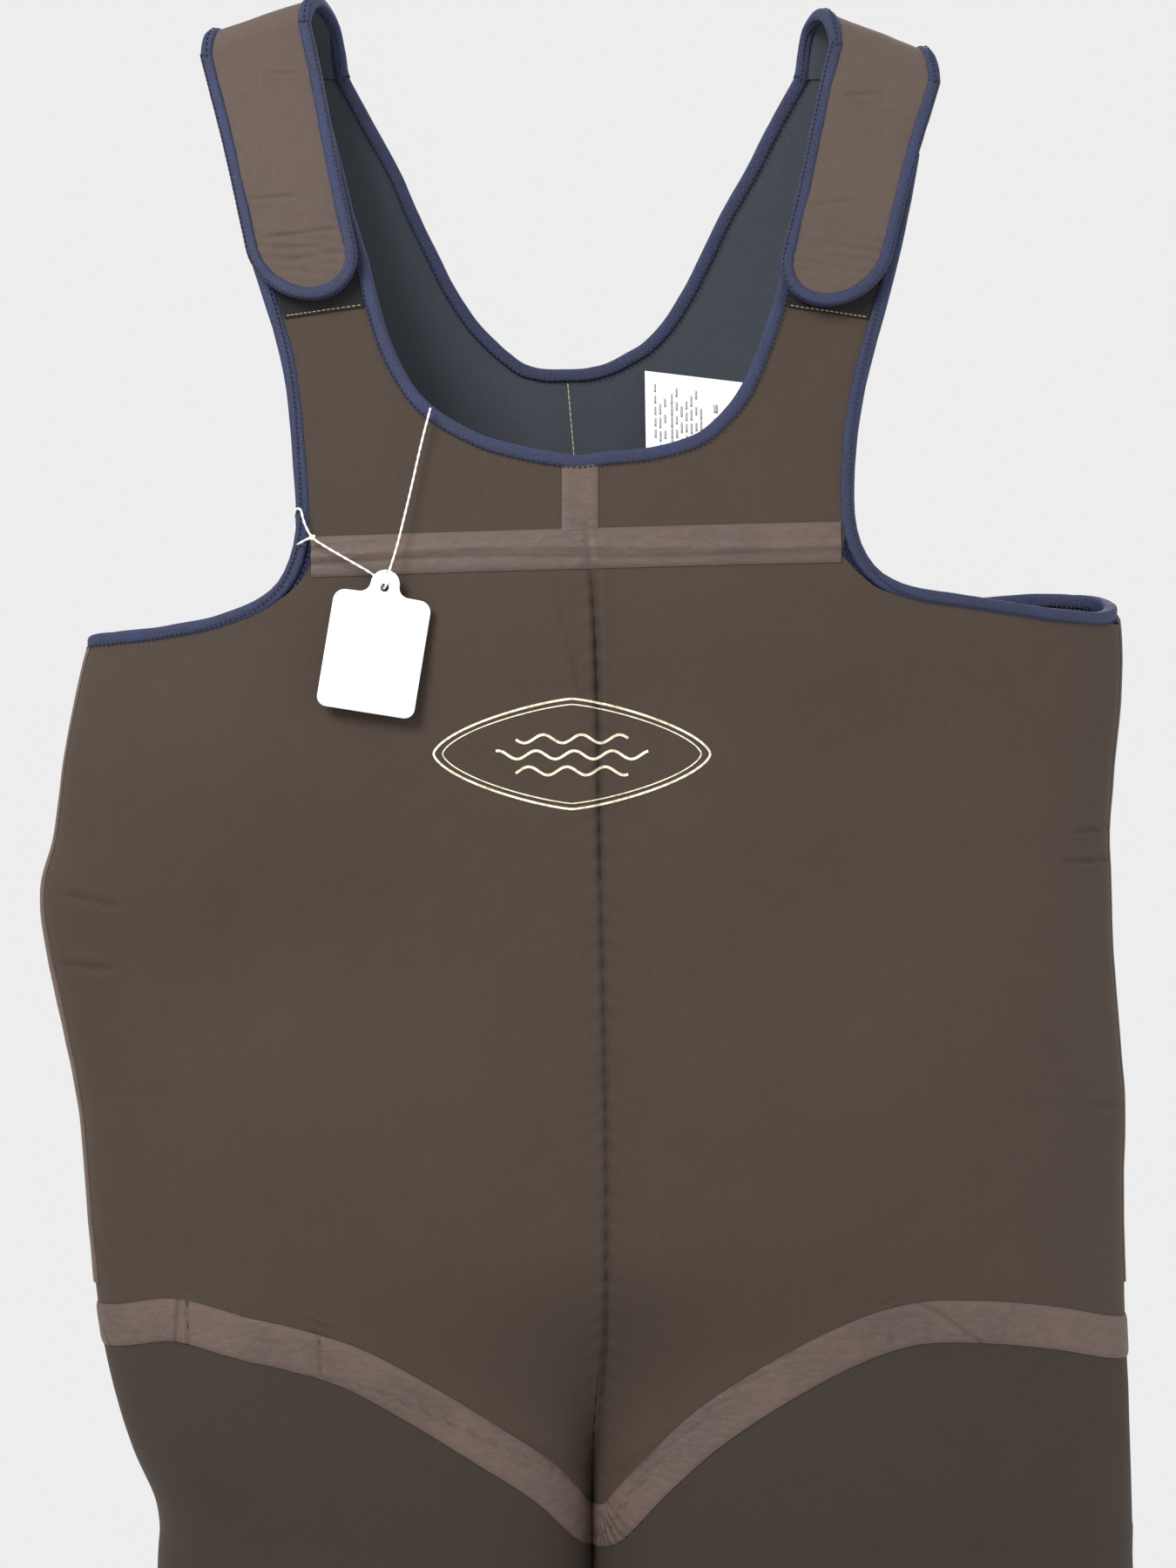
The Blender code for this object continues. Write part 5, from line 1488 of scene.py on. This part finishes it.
def badge_edge(grow):
    """Lozenge with rounded tips, grown by a distance."""
    turns = np.linspace(0, math.tau, 160, endpoint=False)
    return [(BADGE[0] + (BADGE_HALF[0] + grow * 1.6) * spow(math.cos(k), 1.55),
             BADGE[1] + (BADGE_HALF[1] + grow) * spow(math.sin(k), 1.25)) for k in turns]


printed_line("badge_outer_line", badge_edge(0), .0011, closed=True)
printed_line("badge_inner_line", badge_edge(-.0028), .0006, closed=True)
for row, (level, reach) in enumerate(((.0075, .028), (-.0005, .038), (-.0085, .028))):
    x = np.linspace(-reach, reach, 120)
    z = level + .0021 * np.sin(x * math.tau / .0190 + row * 1.2)
    printed_line("badge_wave_" + str(row + 1), np.stack([x, z], -1) + BADGE, .0013)


# ------------------------------------------------------------------ light and floor
def lamp(name, place, aim, size, power, tint=(1, 1, 1)):
    """A square soft light that faces aim."""
    light = bpy.data.lights.new(name, "AREA")
    light.size = size
    light.energy = power
    light.color = tint
    obj = bpy.data.objects.new(name, light)
    obj.location = place
    way = np.array(aim, float) - np.array(place, float)
    flat = math.hypot(way[0], way[1])
    obj.rotation_euler = (math.pi / 2 + math.atan2(way[2], flat), 0, math.atan2(-way[0], way[1]))
    bpy.context.scene.collection.objects.link(obj)


lamp("key", (-1.1, -1.45, .95), (0, 0, -.45), .9, 62, (1, .985, .97))
lamp("fill", (2.0, -.9, -.1), (0, 0, -.5), 1.2, 18)
lamp("back", (.6, 2.4, 1.4), (0, 0, -.6), 1.8, 26)
world = bpy.data.worlds.new("pale_room")
bpy.context.scene.world = world
world.use_nodes = True
sky = world.node_tree.nodes["Background"]
sky.inputs["Color"].default_value = (1, 1, 1, 1)
sky.inputs["Strength"].default_value = .85
bpy.context.scene.view_settings.view_transform = "Standard"

FLOOR_Z = -1.600
disc = [(2.3 * math.cos(k * math.tau / 96), 2.3 * math.sin(k * math.tau / 96), FLOOR_Z)
        for k in range(96)]
floor_paint = plain("pale_floor", linear(226, 225, 222), linear(231, 230, 227), .8, 6, .0001)
floor = add("floor", disc, [list(range(96))], [floor_paint], smooth_faces=False)
